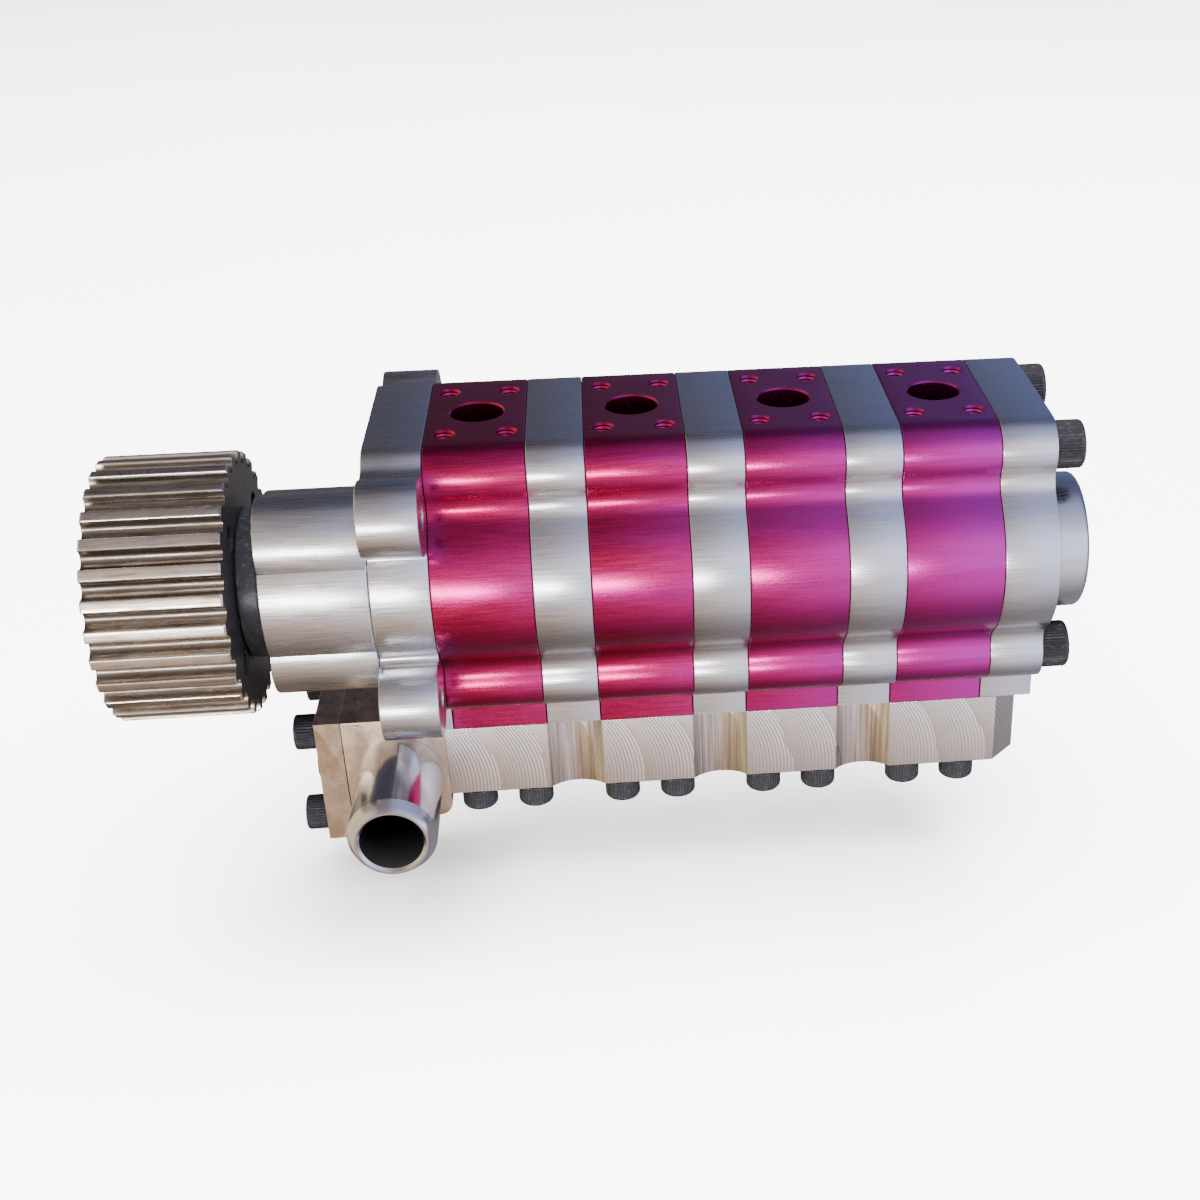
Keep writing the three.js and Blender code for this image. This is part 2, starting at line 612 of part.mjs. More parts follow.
// ---------------------------------------------------------------- pulley, hub, washer, bolt
// Flat lands with round-bottomed grooves between them.
function pulleyOutline() {
  const points = [];
  const step = (2 * Math.PI) / PULLEY_TEETH;
  const halfGroove = PULLEY_GROOVE_WIDTH / 2 / PULLEY_RADIUS;
  for (let k = 0; k < PULLEY_TEETH; k += 1) {
    const t = k * step;
    const at = (r, a) => points.push([r * Math.cos(t + a), r * Math.sin(t + a)]);
    at(PULLEY_RADIUS, -halfGroove);
    at(PULLEY_RADIUS - PULLEY_WALL_DEPTH, -PULLEY_FLOOR_SHARE * halfGroove);
    at(PULLEY_RADIUS - PULLEY_GROOVE_DEPTH, 0);
    at(PULLEY_RADIUS - PULLEY_WALL_DEPTH, PULLEY_FLOOR_SHARE * halfGroove);
    at(PULLEY_RADIUS, halfGroove);
  }
  return points;
}
{
  const seat = HUB_SPIGOT_RADIUS + SEAT_CLEARANCE;
  const tools = [
    bore("x", 0, 0, seat, PULLEY_FRONT - 1, PULLEY_REAR + 1),
    bore("x", 0, 0, PULLEY_RECESS_RADIUS, PULLEY_FRONT - 1, SPIGOT_FRONT),
  ];
  for (let k = 0; k < PULLEY_HOLES; k += 1) {
    const t = (2 * Math.PI * (k + PULLEY_HOLE_TURN)) / PULLEY_HOLES;
    const y = PULLEY_HOLE_OFFSET * Math.cos(t);
    const z = PULLEY_HOLE_OFFSET * Math.sin(t);
    tools.push(
      bore("x", y, z, PULLEY_HOLE_RADIUS, PULLEY_FRONT - 1, PULLEY_REAR + 1, WEB_HOLE_SIDES),
    );
  }
  const toothed = prism("x", pulleyOutline(), PULLEY_FRONT, PULLEY_REAR);
  piece("belt_pulley", cut(toothed, tools), PASSIVATED);
  const flangeFrom = PULLEY_REAR + JOINT_GAP;
  const hub = join([
    pin("x", 0, 0, HUB_RADIUS, flangeFrom, HUB_REAR),
    pin("x", 0, 0, HUB_SPIGOT_RADIUS, SPIGOT_FRONT, flangeFrom + 1),
  ]);
  const fit = SHAFT_RADIUS + KEYED_CLEARANCE;
  const through = bore("x", 0, 0, fit, SPIGOT_FRONT - 1, HUB_REAR + 1, SHAFT_SIDES);
  piece("pulley_hub", cut(hub, [through]), BLACK_OXIDE);
  const washerTo = SPIGOT_FRONT - HEAD_GAP;
  const washerFrom = washerTo - WASHER_THICKNESS;
  const hole = M8.shank + HOLE_CLEARANCE;
  const washer = ring("x", 0, 0, hole, WASHER_RADIUS, washerFrom, washerTo);
  piece("pulley_washer", washer, STEEL);
  const headSeat = washerFrom - HEAD_GAP;
  const length = SPIGOT_FRONT + PULLEY_THREAD - headSeat;
  piece("pulley_bolt", screw("x", 0, 0, headSeat, 1, M8, length), BLACK_OXIDE);
}

// ---------------------------------------------------------------- discharge manifold
// Side view (x, z) of the rail with the deeper collector block at its drive end.
function railSide() {
  const front = -COLLECTOR_FRONT;
  const stepTop = COLLECTOR_BOTTOM + COLLECTOR_STEP;
  const cx = COLLECTOR_REAR - COLLECTOR_CORNER;
  const cz = stepTop + COLLECTOR_CORNER;
  return [
    [front, COLLECTOR_TOP],
    [front, COLLECTOR_BOTTOM],
    [COLLECTOR_STEP_X, COLLECTOR_BOTTOM],
    [COLLECTOR_STEP_X + COLLECTOR_STEP / 2, stepTop],
    ...arc([cx, cz], COLLECTOR_CORNER, -Math.PI / 2, 0, 4),
    [COLLECTOR_REAR, RAIL_BOTTOM],
    [RAIL_END, RAIL_BOTTOM],
    [RAIL_END, RAIL_TOP],
    [-3 * JOINT_GAP, RAIL_TOP],
    [-3 * JOINT_GAP, COLLECTOR_TOP],
  ];
}
{
  const outline = railSide().map(([x, z]) => [z, x]);
  const body = prism("y", outline, RAIL_NEAR, RAIL_FAR);
  const galleryEnd = sectionCentre(STAGES - 1) + PORT_RADIUS;
  const tools = [
    bore("x", MID_Y, GALLERY_Z, PORT_RADIUS, -COLLECTOR_FRONT - 1, galleryEnd, PORT_SIDES),
    bore(
      "y",
      TUBE_Z,
      TUBE_X,
      TUBE_SPIGOT_RADIUS + SEAT_CLEARANCE,
      RAIL_NEAR - 1,
      RAIL_NEAR + TUBE_SPIGOT_LENGTH + TIP_GAP,
    ),
    bore("y", TUBE_Z, TUBE_X, PORT_RADIUS, RAIL_NEAR - 1, MID_Y, PORT_SIDES),
  ];
  for (let i = 0; i < STAGES; i += 1) {
    const centre = sectionCentre(i);
    tools.push(bore("z", centre, MID_Y, PORT_RADIUS, GALLERY_Z, RAIL_TOP + 1, PORT_SIDES));
    for (const [dx, y] of portScrews) {
      const x = centre + dx;
      const radius = M6.shank + HOLE_CLEARANCE;
      tools.push(bore("z", x, y, radius, RAIL_BOTTOM - 1, RAIL_TOP + 1, SHANK_SIDES));
    }
  }
  for (let i = 0; i < STAGES - 1; i += 1) {
    const x = sectionStart(i) + SECTION_LENGTH + SEPARATOR_LENGTH / 2;
    for (const side of [-1, 1]) {
      const y = MID_Y + side * (FOOT_HALF_WIDTH - SCALLOP_DEPTH + SCALLOP_RADIUS);
      tools.push(pin("z", x, y, SCALLOP_RADIUS, RAIL_BOTTOM - 1, RAIL_TOP + 1));
    }
  }
  const low = RAIL_BOTTOM - 1;
  const high = RAIL_TOP + 1;
  const back = RAIL_END - RAIL_CHAMFER;
  for (const side of [-1, 1]) {
    const face = MID_Y + side * FOOT_HALF_WIDTH;
    const wedge = [
      [back - 1, face + side],
      [RAIL_END + 1, face + side],
      [RAIL_END + 1, face - side * (RAIL_CHAMFER + 1)],
    ];
    tools.push(prism("z", side < 0 ? wedge : wedge.reverse(), low, high));
  }
  for (const sy of [-1, 1]) {
    for (const sz of [-1, 1]) {
      const y = MID_Y + sy * PLATE_SCREW_HALF;
      const z = PLATE_CENTRE_Z + sz * PLATE_SCREW_HALF;
      const deep = -COLLECTOR_FRONT + PLATE_THREAD + TIP_GAP;
      const radius = M6.shank + HOLE_CLEARANCE;
      tools.push(bore("x", y, z, radius, -COLLECTOR_FRONT - 1, deep, HOLE_SIDES));
    }
  }
  piece("discharge_manifold", cut(body, tools), MACHINED);
}
{
  const to = -COLLECTOR_FRONT - JOINT_GAP;
  const from = to - PLATE_THICKNESS;
  const outline = [
    [RAIL_NEAR, COLLECTOR_BOTTOM],
    [RAIL_FAR, COLLECTOR_BOTTOM],
    [RAIL_FAR, COLLECTOR_TOP],
    [RAIL_NEAR, COLLECTOR_TOP],
  ];
  const tools = [];
  let count = 0;
  for (const sy of [-1, 1]) {
    for (const sz of [1, -1]) {
      count += 1;
      const y = MID_Y + sy * PLATE_SCREW_HALF;
      const z = PLATE_CENTRE_Z + sz * PLATE_SCREW_HALF;
      const radius = M6.shank + HOLE_CLEARANCE;
      tools.push(bore("x", y, z, radius, from - 1, to + 1, HOLE_SIDES));
      const seat = from - HEAD_GAP;
      const length = -COLLECTOR_FRONT + PLATE_THREAD - seat;
      piece(`plate_screw_${count}`, screw("x", y, z, seat, 1, M6, length), BLACK_OXIDE);
    }
  }
  piece("manifold_end_plate", cut(prism("x", outline, from, to), tools), MACHINED);
}
{
  let count = 0;
  for (let i = 0; i < STAGES; i += 1) {
    for (const [dx, y] of portScrews) {
      count += 1;
      const x = sectionCentre(i) + dx;
      const seat = RAIL_BOTTOM - HEAD_GAP;
      const length = FOOT_Z + MANIFOLD_THREAD - seat;
      const name = `manifold_screw_${String(count).padStart(2, "0")}`;
      piece(name, screw("z", x, y, seat, 1, M6, length), BLACK_OXIDE);
    }
  }
}

// ---------------------------------------------------------------- outlet tube
{
  const end = RAIL_NEAR - TUBE_LENGTH;
  const shoulder = RAIL_NEAR - JOINT_GAP;
  const inside = RAIL_NEAR + TUBE_SPIGOT_LENGTH;
  const profile = [
    [TUBE_BORE, inside],
    [TUBE_BORE, end + TUBE_LIP],
    [TUBE_BORE + TUBE_LIP, end],
    [TUBE_RADIUS - TUBE_CHAMFER_DEPTH, end],
    [TUBE_RADIUS, end + TUBE_CHAMFER],
    [TUBE_RADIUS, shoulder],
    [TUBE_SPIGOT_RADIUS, shoulder],
    [TUBE_SPIGOT_RADIUS, inside],
    [TUBE_BORE, inside],
  ];
  piece("outlet_tube", turned("y", TUBE_Z, TUBE_X, profile), TURNED);
}

// ---------------------------------------------------------------- through bolts
boltPlaces.forEach(([y, z], i) => {
  const seat = REAR_X + HEAD_GAP;
  const length = seat - COVER_LENGTH + BOLT_THREAD;
  piece(`through_bolt_${i + 1}`, screw("x", y, z, seat, -1, M8, length), BLACK_OXIDE);
});

export default group;
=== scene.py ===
"""Visual model of a belt-driven, four-stage gear oil pump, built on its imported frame.

Lengths are in metres. +X runs from the pulley to the rear, +Y from the drive shaft to the idler shaft, and
+Z up.
"""

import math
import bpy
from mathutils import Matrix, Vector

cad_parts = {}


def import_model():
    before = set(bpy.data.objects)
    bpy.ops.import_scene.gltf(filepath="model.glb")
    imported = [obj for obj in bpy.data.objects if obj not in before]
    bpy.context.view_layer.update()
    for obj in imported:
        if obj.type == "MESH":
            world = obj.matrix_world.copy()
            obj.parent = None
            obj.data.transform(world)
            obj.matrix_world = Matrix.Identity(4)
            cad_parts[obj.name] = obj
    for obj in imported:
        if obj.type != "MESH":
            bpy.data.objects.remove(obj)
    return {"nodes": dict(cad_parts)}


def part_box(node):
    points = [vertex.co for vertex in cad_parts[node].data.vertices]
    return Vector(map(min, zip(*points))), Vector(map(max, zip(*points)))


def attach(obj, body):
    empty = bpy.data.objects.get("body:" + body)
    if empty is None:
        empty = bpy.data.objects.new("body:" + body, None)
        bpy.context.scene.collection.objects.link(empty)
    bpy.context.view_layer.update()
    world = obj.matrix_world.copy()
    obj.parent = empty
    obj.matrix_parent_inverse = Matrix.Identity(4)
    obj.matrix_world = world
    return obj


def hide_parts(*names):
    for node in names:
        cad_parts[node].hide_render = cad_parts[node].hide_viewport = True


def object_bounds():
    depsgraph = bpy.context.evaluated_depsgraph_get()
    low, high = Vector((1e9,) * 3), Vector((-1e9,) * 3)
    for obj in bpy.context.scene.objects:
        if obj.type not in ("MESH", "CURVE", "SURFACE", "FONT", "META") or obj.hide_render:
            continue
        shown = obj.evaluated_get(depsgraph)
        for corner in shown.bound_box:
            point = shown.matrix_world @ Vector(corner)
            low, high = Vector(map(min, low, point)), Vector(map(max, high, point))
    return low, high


bl_info = {
    "name": "Staged gear pump",
    "version": (1, 0, 0),
    "blender": (4, 5, 0),
    "location": "View3D > Sidebar > Pump",
    "description": "Builds the visible pieces of a belt-driven, multi-stage gear oil pump",
    "category": "Mesh",
}

import bmesh
import bpy
import numpy as np
from mathutils import Matrix, Vector
from mathutils.geometry import delaunay_2d_cdt

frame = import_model()
CAD_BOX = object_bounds()

MM = 0.001
TURN = 2 * math.pi
GAP = 0.1 * MM  # between two pieces' faces that would lie in one plane
CHAMFER = 0.4 * MM  # of drilled and bored mouths
HOUSING = "pump_housing"
DRIVE = "drive_rotor"


def edges_of(node, axis):
    """A node's lowest and highest place along an axis."""
    low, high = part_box(node)
    return low[axis], high[axis]


def middle_of(node, axis):
    """The middle of a node's box along an axis: (lowest + highest) / 2."""
    low, high = edges_of(node, axis)
    return (low + high) / 2


# ---------------------------------------------------------------- sizes and colours


def length(name, description, default):
    """A length, as a property in metres."""
    return bpy.props.FloatProperty(
        name=name,
        description=description,
        default=default,
        min=0.0,
        unit="LENGTH",
        precision=5,
    )


def shares(code):
    """Red, green and blue of a code such as #FF8800, each as a share of 255."""
    return [int(code[i : i + 2], 16) / 255 for i in (1, 3, 5)]


def colour(name, description, code):
    """A colour, as a property that holds its sRGB shares."""
    return bpy.props.FloatVectorProperty(
        name=name,
        description=description + ", as sRGB",
        default=shares(code),
        size=3,
        min=0.0,
        max=1.0,
        subtype="COLOR_GAMMA",
    )


class StackSizes(bpy.types.PropertyGroup):
    shaft_centres: length("Shaft centres", "From the drive shaft to the idler shaft", 33 * MM)
    barrel: length("Barrel radius", "Outside of a section round each shaft", 24.3 * MM)
    lobe: length("Bolt lobe radius", "Outside of the stack round a long bolt", 8.5 * MM)
    bolt_y: length("Bolt half spacing, across", "Long bolt to the middle plane", 21.5 * MM)
    bolt_z: length("Bolt half spacing, up", "Long bolt to the shafts' level", 30.2 * MM)
    waist: length("Waist fillet", "Hollow between a bolt lobe and a barrel", 6 * MM)
    foot: length("Foot half width", "Half the width of the foot on the manifold", 19.6 * MM)
    ear: length("Ear radius", "Outside of a mounting ear", 10 * MM)
    ear_y: length("Ear half spacing, across", "Ear hole to the middle plane", 39 * MM)
    ear_z: length("Ear half spacing, up", "Ear hole to the shafts' level", 26.4 * MM)
    ear_hole: length("Ear hole radius", "Hole for a mounting screw", 3.3 * MM)
    ear_fillet: length("Ear fillet", "Hollow beside an ear", 2 * MM)
    edge: length("Plate edge", "Rounding of a plate's edges at the joints", 0.35 * MM)
    chamber: length("Chamber radius", "Gear chamber in a section", 19.2 * MM)
    cap: length("Cap radius", "Rear bearing cap", 18.5 * MM)
    cap_edge: length("Cap edge", "Rounding of the cap's rim", 1.8 * MM)


class PortSizes(bpy.types.PropertyGroup):
    port: length("Port radius", "Inlet port", 7 * MM)
    port_edge: length("Port edge", "Chamfer of the port's mouth", 0.45 * MM)
    tap: length("Tapped hole radius", "Screw hole beside a port", 2.5 * MM)
    tap_edge: length("Tapped hole edge", "Chamfer of a tapped hole", 0.55 * MM)
    tap_depth: length("Tapped hole depth", "Depth of a screw hole", 5.5 * MM)
    tap_pitch: length("Thread pitch", "Thread seen in a tapped hole", 1 * MM)
    half_x: length("Screw half spacing, along", "Port screw to the port's middle", 8 * MM)
    half_y: length("Screw half spacing, across", "Port screw to the port's middle", 15 * MM)


class DriveSizes(bpy.types.PropertyGroup):
    nose: length("Nose radius", "Nose housing between its lobes", 24 * MM)
    nose_lobe: length("Nose lobe radius", "Rounding of a nose lobe", 12.5 * MM)
    nose_offset: length("Nose lobe offset", "Lobe's middle to the shaft's axis", 17.5 * MM)
    nose_screw: length("Nose screw offset", "Nose screw to the shaft's axis", 22 * MM)
    nose_sink: length("Nose counterbore radius", "Sink for a nose screw's head", 5.2 * MM)
    nose_sink_depth: length("Nose counterbore depth", "Depth of that sink", 6.5 * MM)
    seat: length("Bearing seat radius", "Seat for the seal and bearing", 14.1 * MM)
    seat_depth: length("Bearing seat depth", "Depth of that seat", 12.6 * MM)
    groove_depth: length("Groove depth", "Pulley groove from the land", 3.4 * MM)
    groove_width: length("Groove width", "Pulley groove at its walls", 4.7 * MM)
    tooth_edge: length("Tooth edge", "Rounding of a pulley land's edges", 0.4 * MM)
    rim_edge: length("Rim chamfer", "Turned chamfer of the pulley's rims", 0.5 * MM)
    recess: length("Pulley recess radius", "Recess in the pulley's outer face", 20 * MM)
    recess_depth: length("Pulley recess depth", "Depth of that recess", 10.4 * MM)
    face_hole: length("Face hole radius", "Through holes in the pulley's web", 3 * MM)
    face_hole_offset: length("Face hole offset", "Face hole to the axis", 24 * MM)
    spigot: length("Hub spigot radius", "Hub spigot inside the pulley", 14 * MM)
    teeth: bpy.props.IntProperty(
        name="Pulley teeth", description="Grooves round the pulley", default=28, min=8
    )


class ManifoldSizes(bpy.types.PropertyGroup):
    scallop: length("Scallop radius", "Relief under a separator", 11 * MM)
    scallop_depth: length("Scallop depth", "Depth of that relief", 3.2 * MM)
    tail: length("Tail chamfer", "Chamfered corners at the rear end", 7.2 * MM)
    corner: length("Collector corner", "Rounding of the collector's rear corner", 3.7 * MM)
    rear: length("Collector rear", "Front cover's face to the collector's rear", 12.7 * MM)
    step: length("Collector step", "Rise of the collector's underside", 5.7 * MM)
    step_start: length("Step start", "Front cover's face to the rise's lower end", 2 * MM)
    step_end: length("Step end", "Front cover's face to the rise's upper end", 4.85 * MM)
    edge: length("Block edge", "Rounding of the block's edges", 0.3 * MM)
    socket: length("Tube socket radius", "Hole in the block for the tube", 10.1 * MM)
    socket_wall: length("Tube socket wall", "Metal left behind the tube's hole", 6 * MM)
    outer: length("Tube radius", "Outside of the outlet tube", 12 * MM)
    bore: length("Tube bore radius", "Inside of the outlet tube", 8.5 * MM)
    lip: length("Tube lip", "Bevel inside the tube's end", 0.7 * MM)
    spigot: length("Tube spigot radius", "Tube inside its socket", 10 * MM)
    taper: length("Tube taper", "Length of the tube's long chamfer", 3.5 * MM)
    taper_depth: length("Tube taper depth", "Depth of that chamfer", 2.1 * MM)


class FinishColours(bpy.types.PropertyGroup):
    anodise: colour("Anodising", "Dye of the pump sections", "#C4225E")
    anodise_deep: colour("Anodising, deep", "Dye where it is thicker", "#94104E")
    # The violet is random dye where the broad streaks lie, and painted reflection where it grows towards the
    # rear.
    violet_dye_and_reflection: colour("Anodising, violet", "Bluer dye of the rear sections", "#B42CA0")
    aluminium: colour("Brushed aluminium", "Plates and covers", "#D2D1D3")
    aluminium_cool: colour("Brushed aluminium, cool", "Cooler streaks", "#BFC4CE")
    milled: colour("Milled aluminium", "Manifold block", "#F0ECEA")
    milled_warm: colour("Milled aluminium, warm", "Warmer passes of the cutter", "#B4A69C")
    turned: colour("Turned aluminium", "Outlet tube", "#D4D2D4")
    plating: colour("Plating", "Straw-coloured plating of the pulley", "#E8DFD4")
    plating_dark: colour("Plating, dark", "Brown and grey in the plating", "#5C4A38")
    # Also laid on the pulley's rear face and its holes' walls as painted shade.
    oxide: colour("Black oxide", "Screws and hub", "#28282D")
    steel: colour("Ground steel", "Shafts, gears and bearings", "#A9ABAF")
    rubber: colour("Seal rubber", "Shaft seal", "#161616")
    floor: colour("Floor", "Studio floor", "#F4F4F5")


GROUPS = {
    "pump_stack": StackSizes,
    "pump_ports": PortSizes,
    "pump_drive": DriveSizes,
    "pump_manifold": ManifoldSizes,
    "pump_finish": FinishColours,
}


# ---------------------------------------------------------------- outlines


def arc(centre, radius, start, end, step=0.1):
    """Points at a radius from a centre, as the angle goes from start to end. step is in radians."""
    count = max(2, int(abs(end - start) / step) + 1)
    t = np.linspace(start, end, count)
    return np.stack([centre[0] + radius * np.cos(t), centre[1] + radius * np.sin(t)], 1)


def circle(centre, radius, count, phase=0.0):
    """Points at a radius from a centre, at equal angles round a whole turn."""
    t = phase + TURN * np.arange(count) / count
    return np.stack([centre[0] + radius * np.cos(t), centre[1] + radius * np.sin(t)], 1)


def corners(centre, half_a, half_b):
    """The four points at the half spacings to either side of a centre."""
    return [(centre[0] + a * half_a, centre[1] + b * half_b) for a in (-1, 1) for b in (-1, 1)]


def heading(a, b):
    """Direction from a to b, as an angle in radians."""
    return math.atan2(b[1] - a[1], b[0] - a[0])


def after(angle, reference):
    """The same direction, as the next angle counter-clockwise from the reference."""
    return reference + (angle - reference) % TURN


def before(angle, reference):
    """The same direction, as the next angle clockwise from the reference."""
    return reference - (reference - angle) % TURN


def fillet_centre(c1, r1, c2, r2, fillet):
    """Centre of a circle that touches two others from outside, on the right as one goes from the first.

    It is where circles of radius r1 + fillet and r2 + fillet cross.
    """
    c1, c2 = np.array(c1), np.array(c2)
    d = np.linalg.norm(c2 - c1)
    along = ((r1 + fillet) ** 2 - (r2 + fillet) ** 2 + d * d) / (2 * d)
    off = math.sqrt(max((r1 + fillet) ** 2 - along * along, 0))
    u = (c2 - c1) / d
    return c1 + u * along + np.array([u[1], -u[0]]) * off


def filleted_run(circles, fillets, start, end):
    """Outline walked counter-clockwise over circles, each joined to the next by a hollow fillet."""
    points, place = [], start
    for i, (centre, radius) in enumerate(circles[:-1]):
        after_centre, after_radius = circles[i + 1]
        hollow = fillet_centre(centre, radius, after_centre, after_radius, fillets[i])
        leave = after(heading(centre, hollow), place)
        points.append(arc(centre, radius, place, leave))
        begin = heading(hollow, centre)
        finish = before(heading(hollow, after_centre), begin)
        points.append(arc(hollow, fillets[i], begin, finish, 0.16)[1:-1])
        place = heading(after_centre, hollow)
    points.append(arc(*circles[-1], place, after(end, place)))
    return np.concatenate(points)


def stack_outline(size, eared=False):
    """Outline of the stack in (y, z), counter-clockwise from one end of the top flat to the other.

    The drive side goes round an upper lobe, the barrel and a lower lobe to the foot. The idler side is its
    mirror image.
    """
    middle = size.shaft_centres / 2
    y, z = middle - size.bolt_y, size.bolt_z
    run = [((y, z), size.lobe), ((0, 0), size.barrel), ((y, -z), size.lobe)]
    fillets = [size.waist, size.waist]
    if eared:
        ear_y = middle - size.ear_y
        run.insert(1, ((ear_y, size.ear_z), size.ear))
        run.insert(3, ((ear_y, -size.ear_z), size.ear))
        fillets = [size.waist, size.ear_fillet, size.ear_fillet, size.waist]
    side = filleted_run(run, fillets, math.pi / 2, 1.5 * math.pi)
    foot_top = -(size.bolt_z + size.lobe)
    foot = [[middle - size.foot, foot_top], [middle - size.foot, edges_of("end_cover", 2)[0]]]
    side = np.concatenate([side, foot])
    other = side[::-1] * [-1, 1] + [2 * middle, 0]
    return np.concatenate([side, other])


def normals_of(outline):
    """Outward normals at the points of a closed counter-clockwise outline, half-way between its edges'.

    Each is 1 / cos(half the turn) long, so that both edges move by the same amount, and at most 2 long.
    """
    along = np.roll(outline, -1, 0) - outline
    along /= np.maximum(np.linalg.norm(along, axis=1, keepdims=True), 1e-9)
    both = along + np.roll(along, 1, 0)
    both /= np.maximum(np.linalg.norm(both, axis=1, keepdims=True), 1e-9)
    share = np.maximum((both * along).sum(1, keepdims=True), 0.5)
    return np.stack([both[:, 1], -both[:, 0]], 1) / share


def rounded(low, high, edge, steps=3):
    """Edge profile of a plate, as (place, inset) pairs: a quarter circle at each end, and a straight."""
    t = np.linspace(0, math.pi / 2, steps + 1)
    place = np.concatenate([low + edge * (1 - np.sin(t[::-1])), high - edge * (1 - np.sin(t))])
    inset = np.concatenate([edge * (1 - np.cos(t[::-1])), edge * (1 - np.cos(t))])
    order = np.argsort(place, kind="stable")
    return np.stack([place[order], inset[order]], 1)


# ---------------------------------------------------------------- surfaces

TO_AXIS = {
    "x": np.array([[0, 1, 0], [0, 0, 1], [1, 0, 0]], float),
    "y": np.array([[0, 0, 1], [1, 0, 0], [0, 1, 0]], float),
    "z": np.eye(3),
}


def place(pairs, level, axis):
    """Pairs across an axis, at a level along it: (y, z) across x, (z, x) across y and (x, y) across z."""
    level = np.broadcast_to(np.asarray(level, float), pairs.shape[:-1])
    return np.concatenate([pairs, level[..., None]], -1) @ TO_AXIS[axis]


class Skin:
    """Collects grids, flats and polygons, and makes one closed mesh of them."""

    def __init__(self):
        self.points = []
        self.faces = []
        self.flat = []
        self.slots = []
        self.count = 0

    def keep(self, points, faces, flat, slot):
        """Adds points, and faces whose numbers count from the first of them."""
        self.points.append(points.reshape(-1, 3))
        self.faces.extend((np.asarray(faces) + self.count).tolist())
        self.flat.extend([flat] * len(faces))
        self.slots.extend([slot] * len(faces))
        self.count += len(self.points[-1])

    def grid(self, points, closed=True, slot=0):
        """Quads between neighbouring rows and columns. closed joins the last column to the first."""
        rows, columns = points.shape[:2]
        index = np.arange(rows * columns).reshape(rows, columns)
        here, there = (index, np.roll(index, -1, 1)) if closed else (index[:, :-1], index[:, 1:])
        faces = np.stack([here[:-1], there[:-1], there[1:], here[1:]], -1).reshape(-1, 4)
        self.keep(points, faces, False, slot)

    def flat_face(self, outline, holes, level, axis, inner=None, slot=0):
        """Triangles inside a closed outline and outside its holes, by Delaunay's rule.

        They lie at a level along an axis. level may be a function of the points, for a face that isn't
        plane, and inner adds points to follow it.
        """
        loops = [outline, *holes]
        points = np.concatenate(loops + ([inner] if inner is not None else []))
        edges, start = [], 0
        for loop in loops:
            index = start + np.arange(len(loop))
            edges += np.stack([index, np.roll(index, -1)], 1).tolist()
            start += len(loop)
        made = delaunay_2d_cdt([Vector(p) for p in points * 1000], edges, [], 1, 1e-6)
        found = np.array([v[:] for v in made[0]]) / 1000
        triangles = np.array(made[2])
        centres = found[triangles].mean(1)
        outside = np.ones(len(triangles), bool)
        for hole in holes:
            outside &= ~inside(centres, hole)
        height = level(found) if callable(level) else level
        self.keep(place(found, height, axis), triangles[outside], not callable(level), slot)

    def polygon(self, points, slot=0):
        """One flat face with the points as its corners, in order."""
        self.keep(points, [list(range(len(points)))], True, slot)

    def piece(self, name, finishes, body, slot, *nodes, smooth=35):
        """The object, with doubles merged, normals outwards, and edges past the angle smooth kept sharp."""
        mesh = bpy.data.meshes.new(name)
        mesh.from_pydata(np.concatenate(self.points), [], self.faces)
        mesh.polygons.foreach_set("use_smooth", [not f for f in self.flat])
        mesh.polygons.foreach_set("material_index", self.slots)
        work = bmesh.new()
        work.from_mesh(mesh)
        bmesh.ops.remove_doubles(work, verts=work.verts, dist=1e-6)
        bmesh.ops.dissolve_degenerate(work, edges=work.edges, dist=1e-7)
        bmesh.ops.recalc_face_normals(work, faces=work.faces)
        work.to_mesh(mesh)
        work.free()
        mesh.set_sharp_from_angle(angle=math.radians(smooth))
        for finish in finishes:
            mesh.materials.append(material(finish))
        made = bpy.data.objects.new(name, mesh)
        bpy.context.scene.collection.objects.link(made)
        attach(made, body)
        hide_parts(*nodes)
        return made


def inside(points, loop):
    """Whether each point is inside a closed loop: a ray from it crosses the loop an odd number of times."""
    a, b = loop, np.roll(loop, -1, 0)
    x, y = points[:, :1], points[:, 1:]
    spans = (a[:, 1] > y) != (b[:, 1] > y)
    rise = np.where(b[:, 1] == a[:, 1], 1e-12, b[:, 1] - a[:, 1])
    crossing = a[:, 0] + (y - a[:, 1]) * (b[:, 0] - a[:, 0]) / rise
    return (spans & (x < crossing)).sum(1) % 2 == 1


def swept(skin, outline, profile, axis):
    """An outline carried along an axis: each (place, inset) of the profile moves it in along its normals."""
    inward = normals_of(outline)
    rows = outline[None] - profile[:, 1, None, None] * inward[None]
    skin.grid(place(rows, profile[:, :1], axis))
    return rows


def turned(skin, centre, profile, axis, count=64, slot=0):
    """A profile of (radius, place) pairs, turned round an axis through the centre."""
    profile = np.asarray(profile, float)
    ring = circle((0, 0), 1, count)
    rows = np.asarray(centre)[None, None] + profile[:, 0, None, None] * ring[None]
    skin.grid(place(rows, profile[:, 1:2], axis), slot=slot)
    return rows


def through_hole(skin, centre, radius, chamfer, ends, axis, count, slot=0):
    """Wall of a hole between two faces: a circle carried from one to the other, chamfered at both."""
    low, high = ends
    wall = [(radius + chamfer, low), (radius, low + chamfer)]
    wall += [(radius, high - chamfer), (radius + chamfer, high)]
    turned(skin, centre, wall, axis, count, slot)


def blind_hole(skin, centre, wall, axis, count, slot=0):
    """Wall of a hole, as (radius, place) pairs turned round its centre, and a flat bottom at the last."""
    rows = turned(skin, centre, wall, axis, count, slot)
    skin.polygon(place(rows[-1], wall[-1][1], axis), slot)


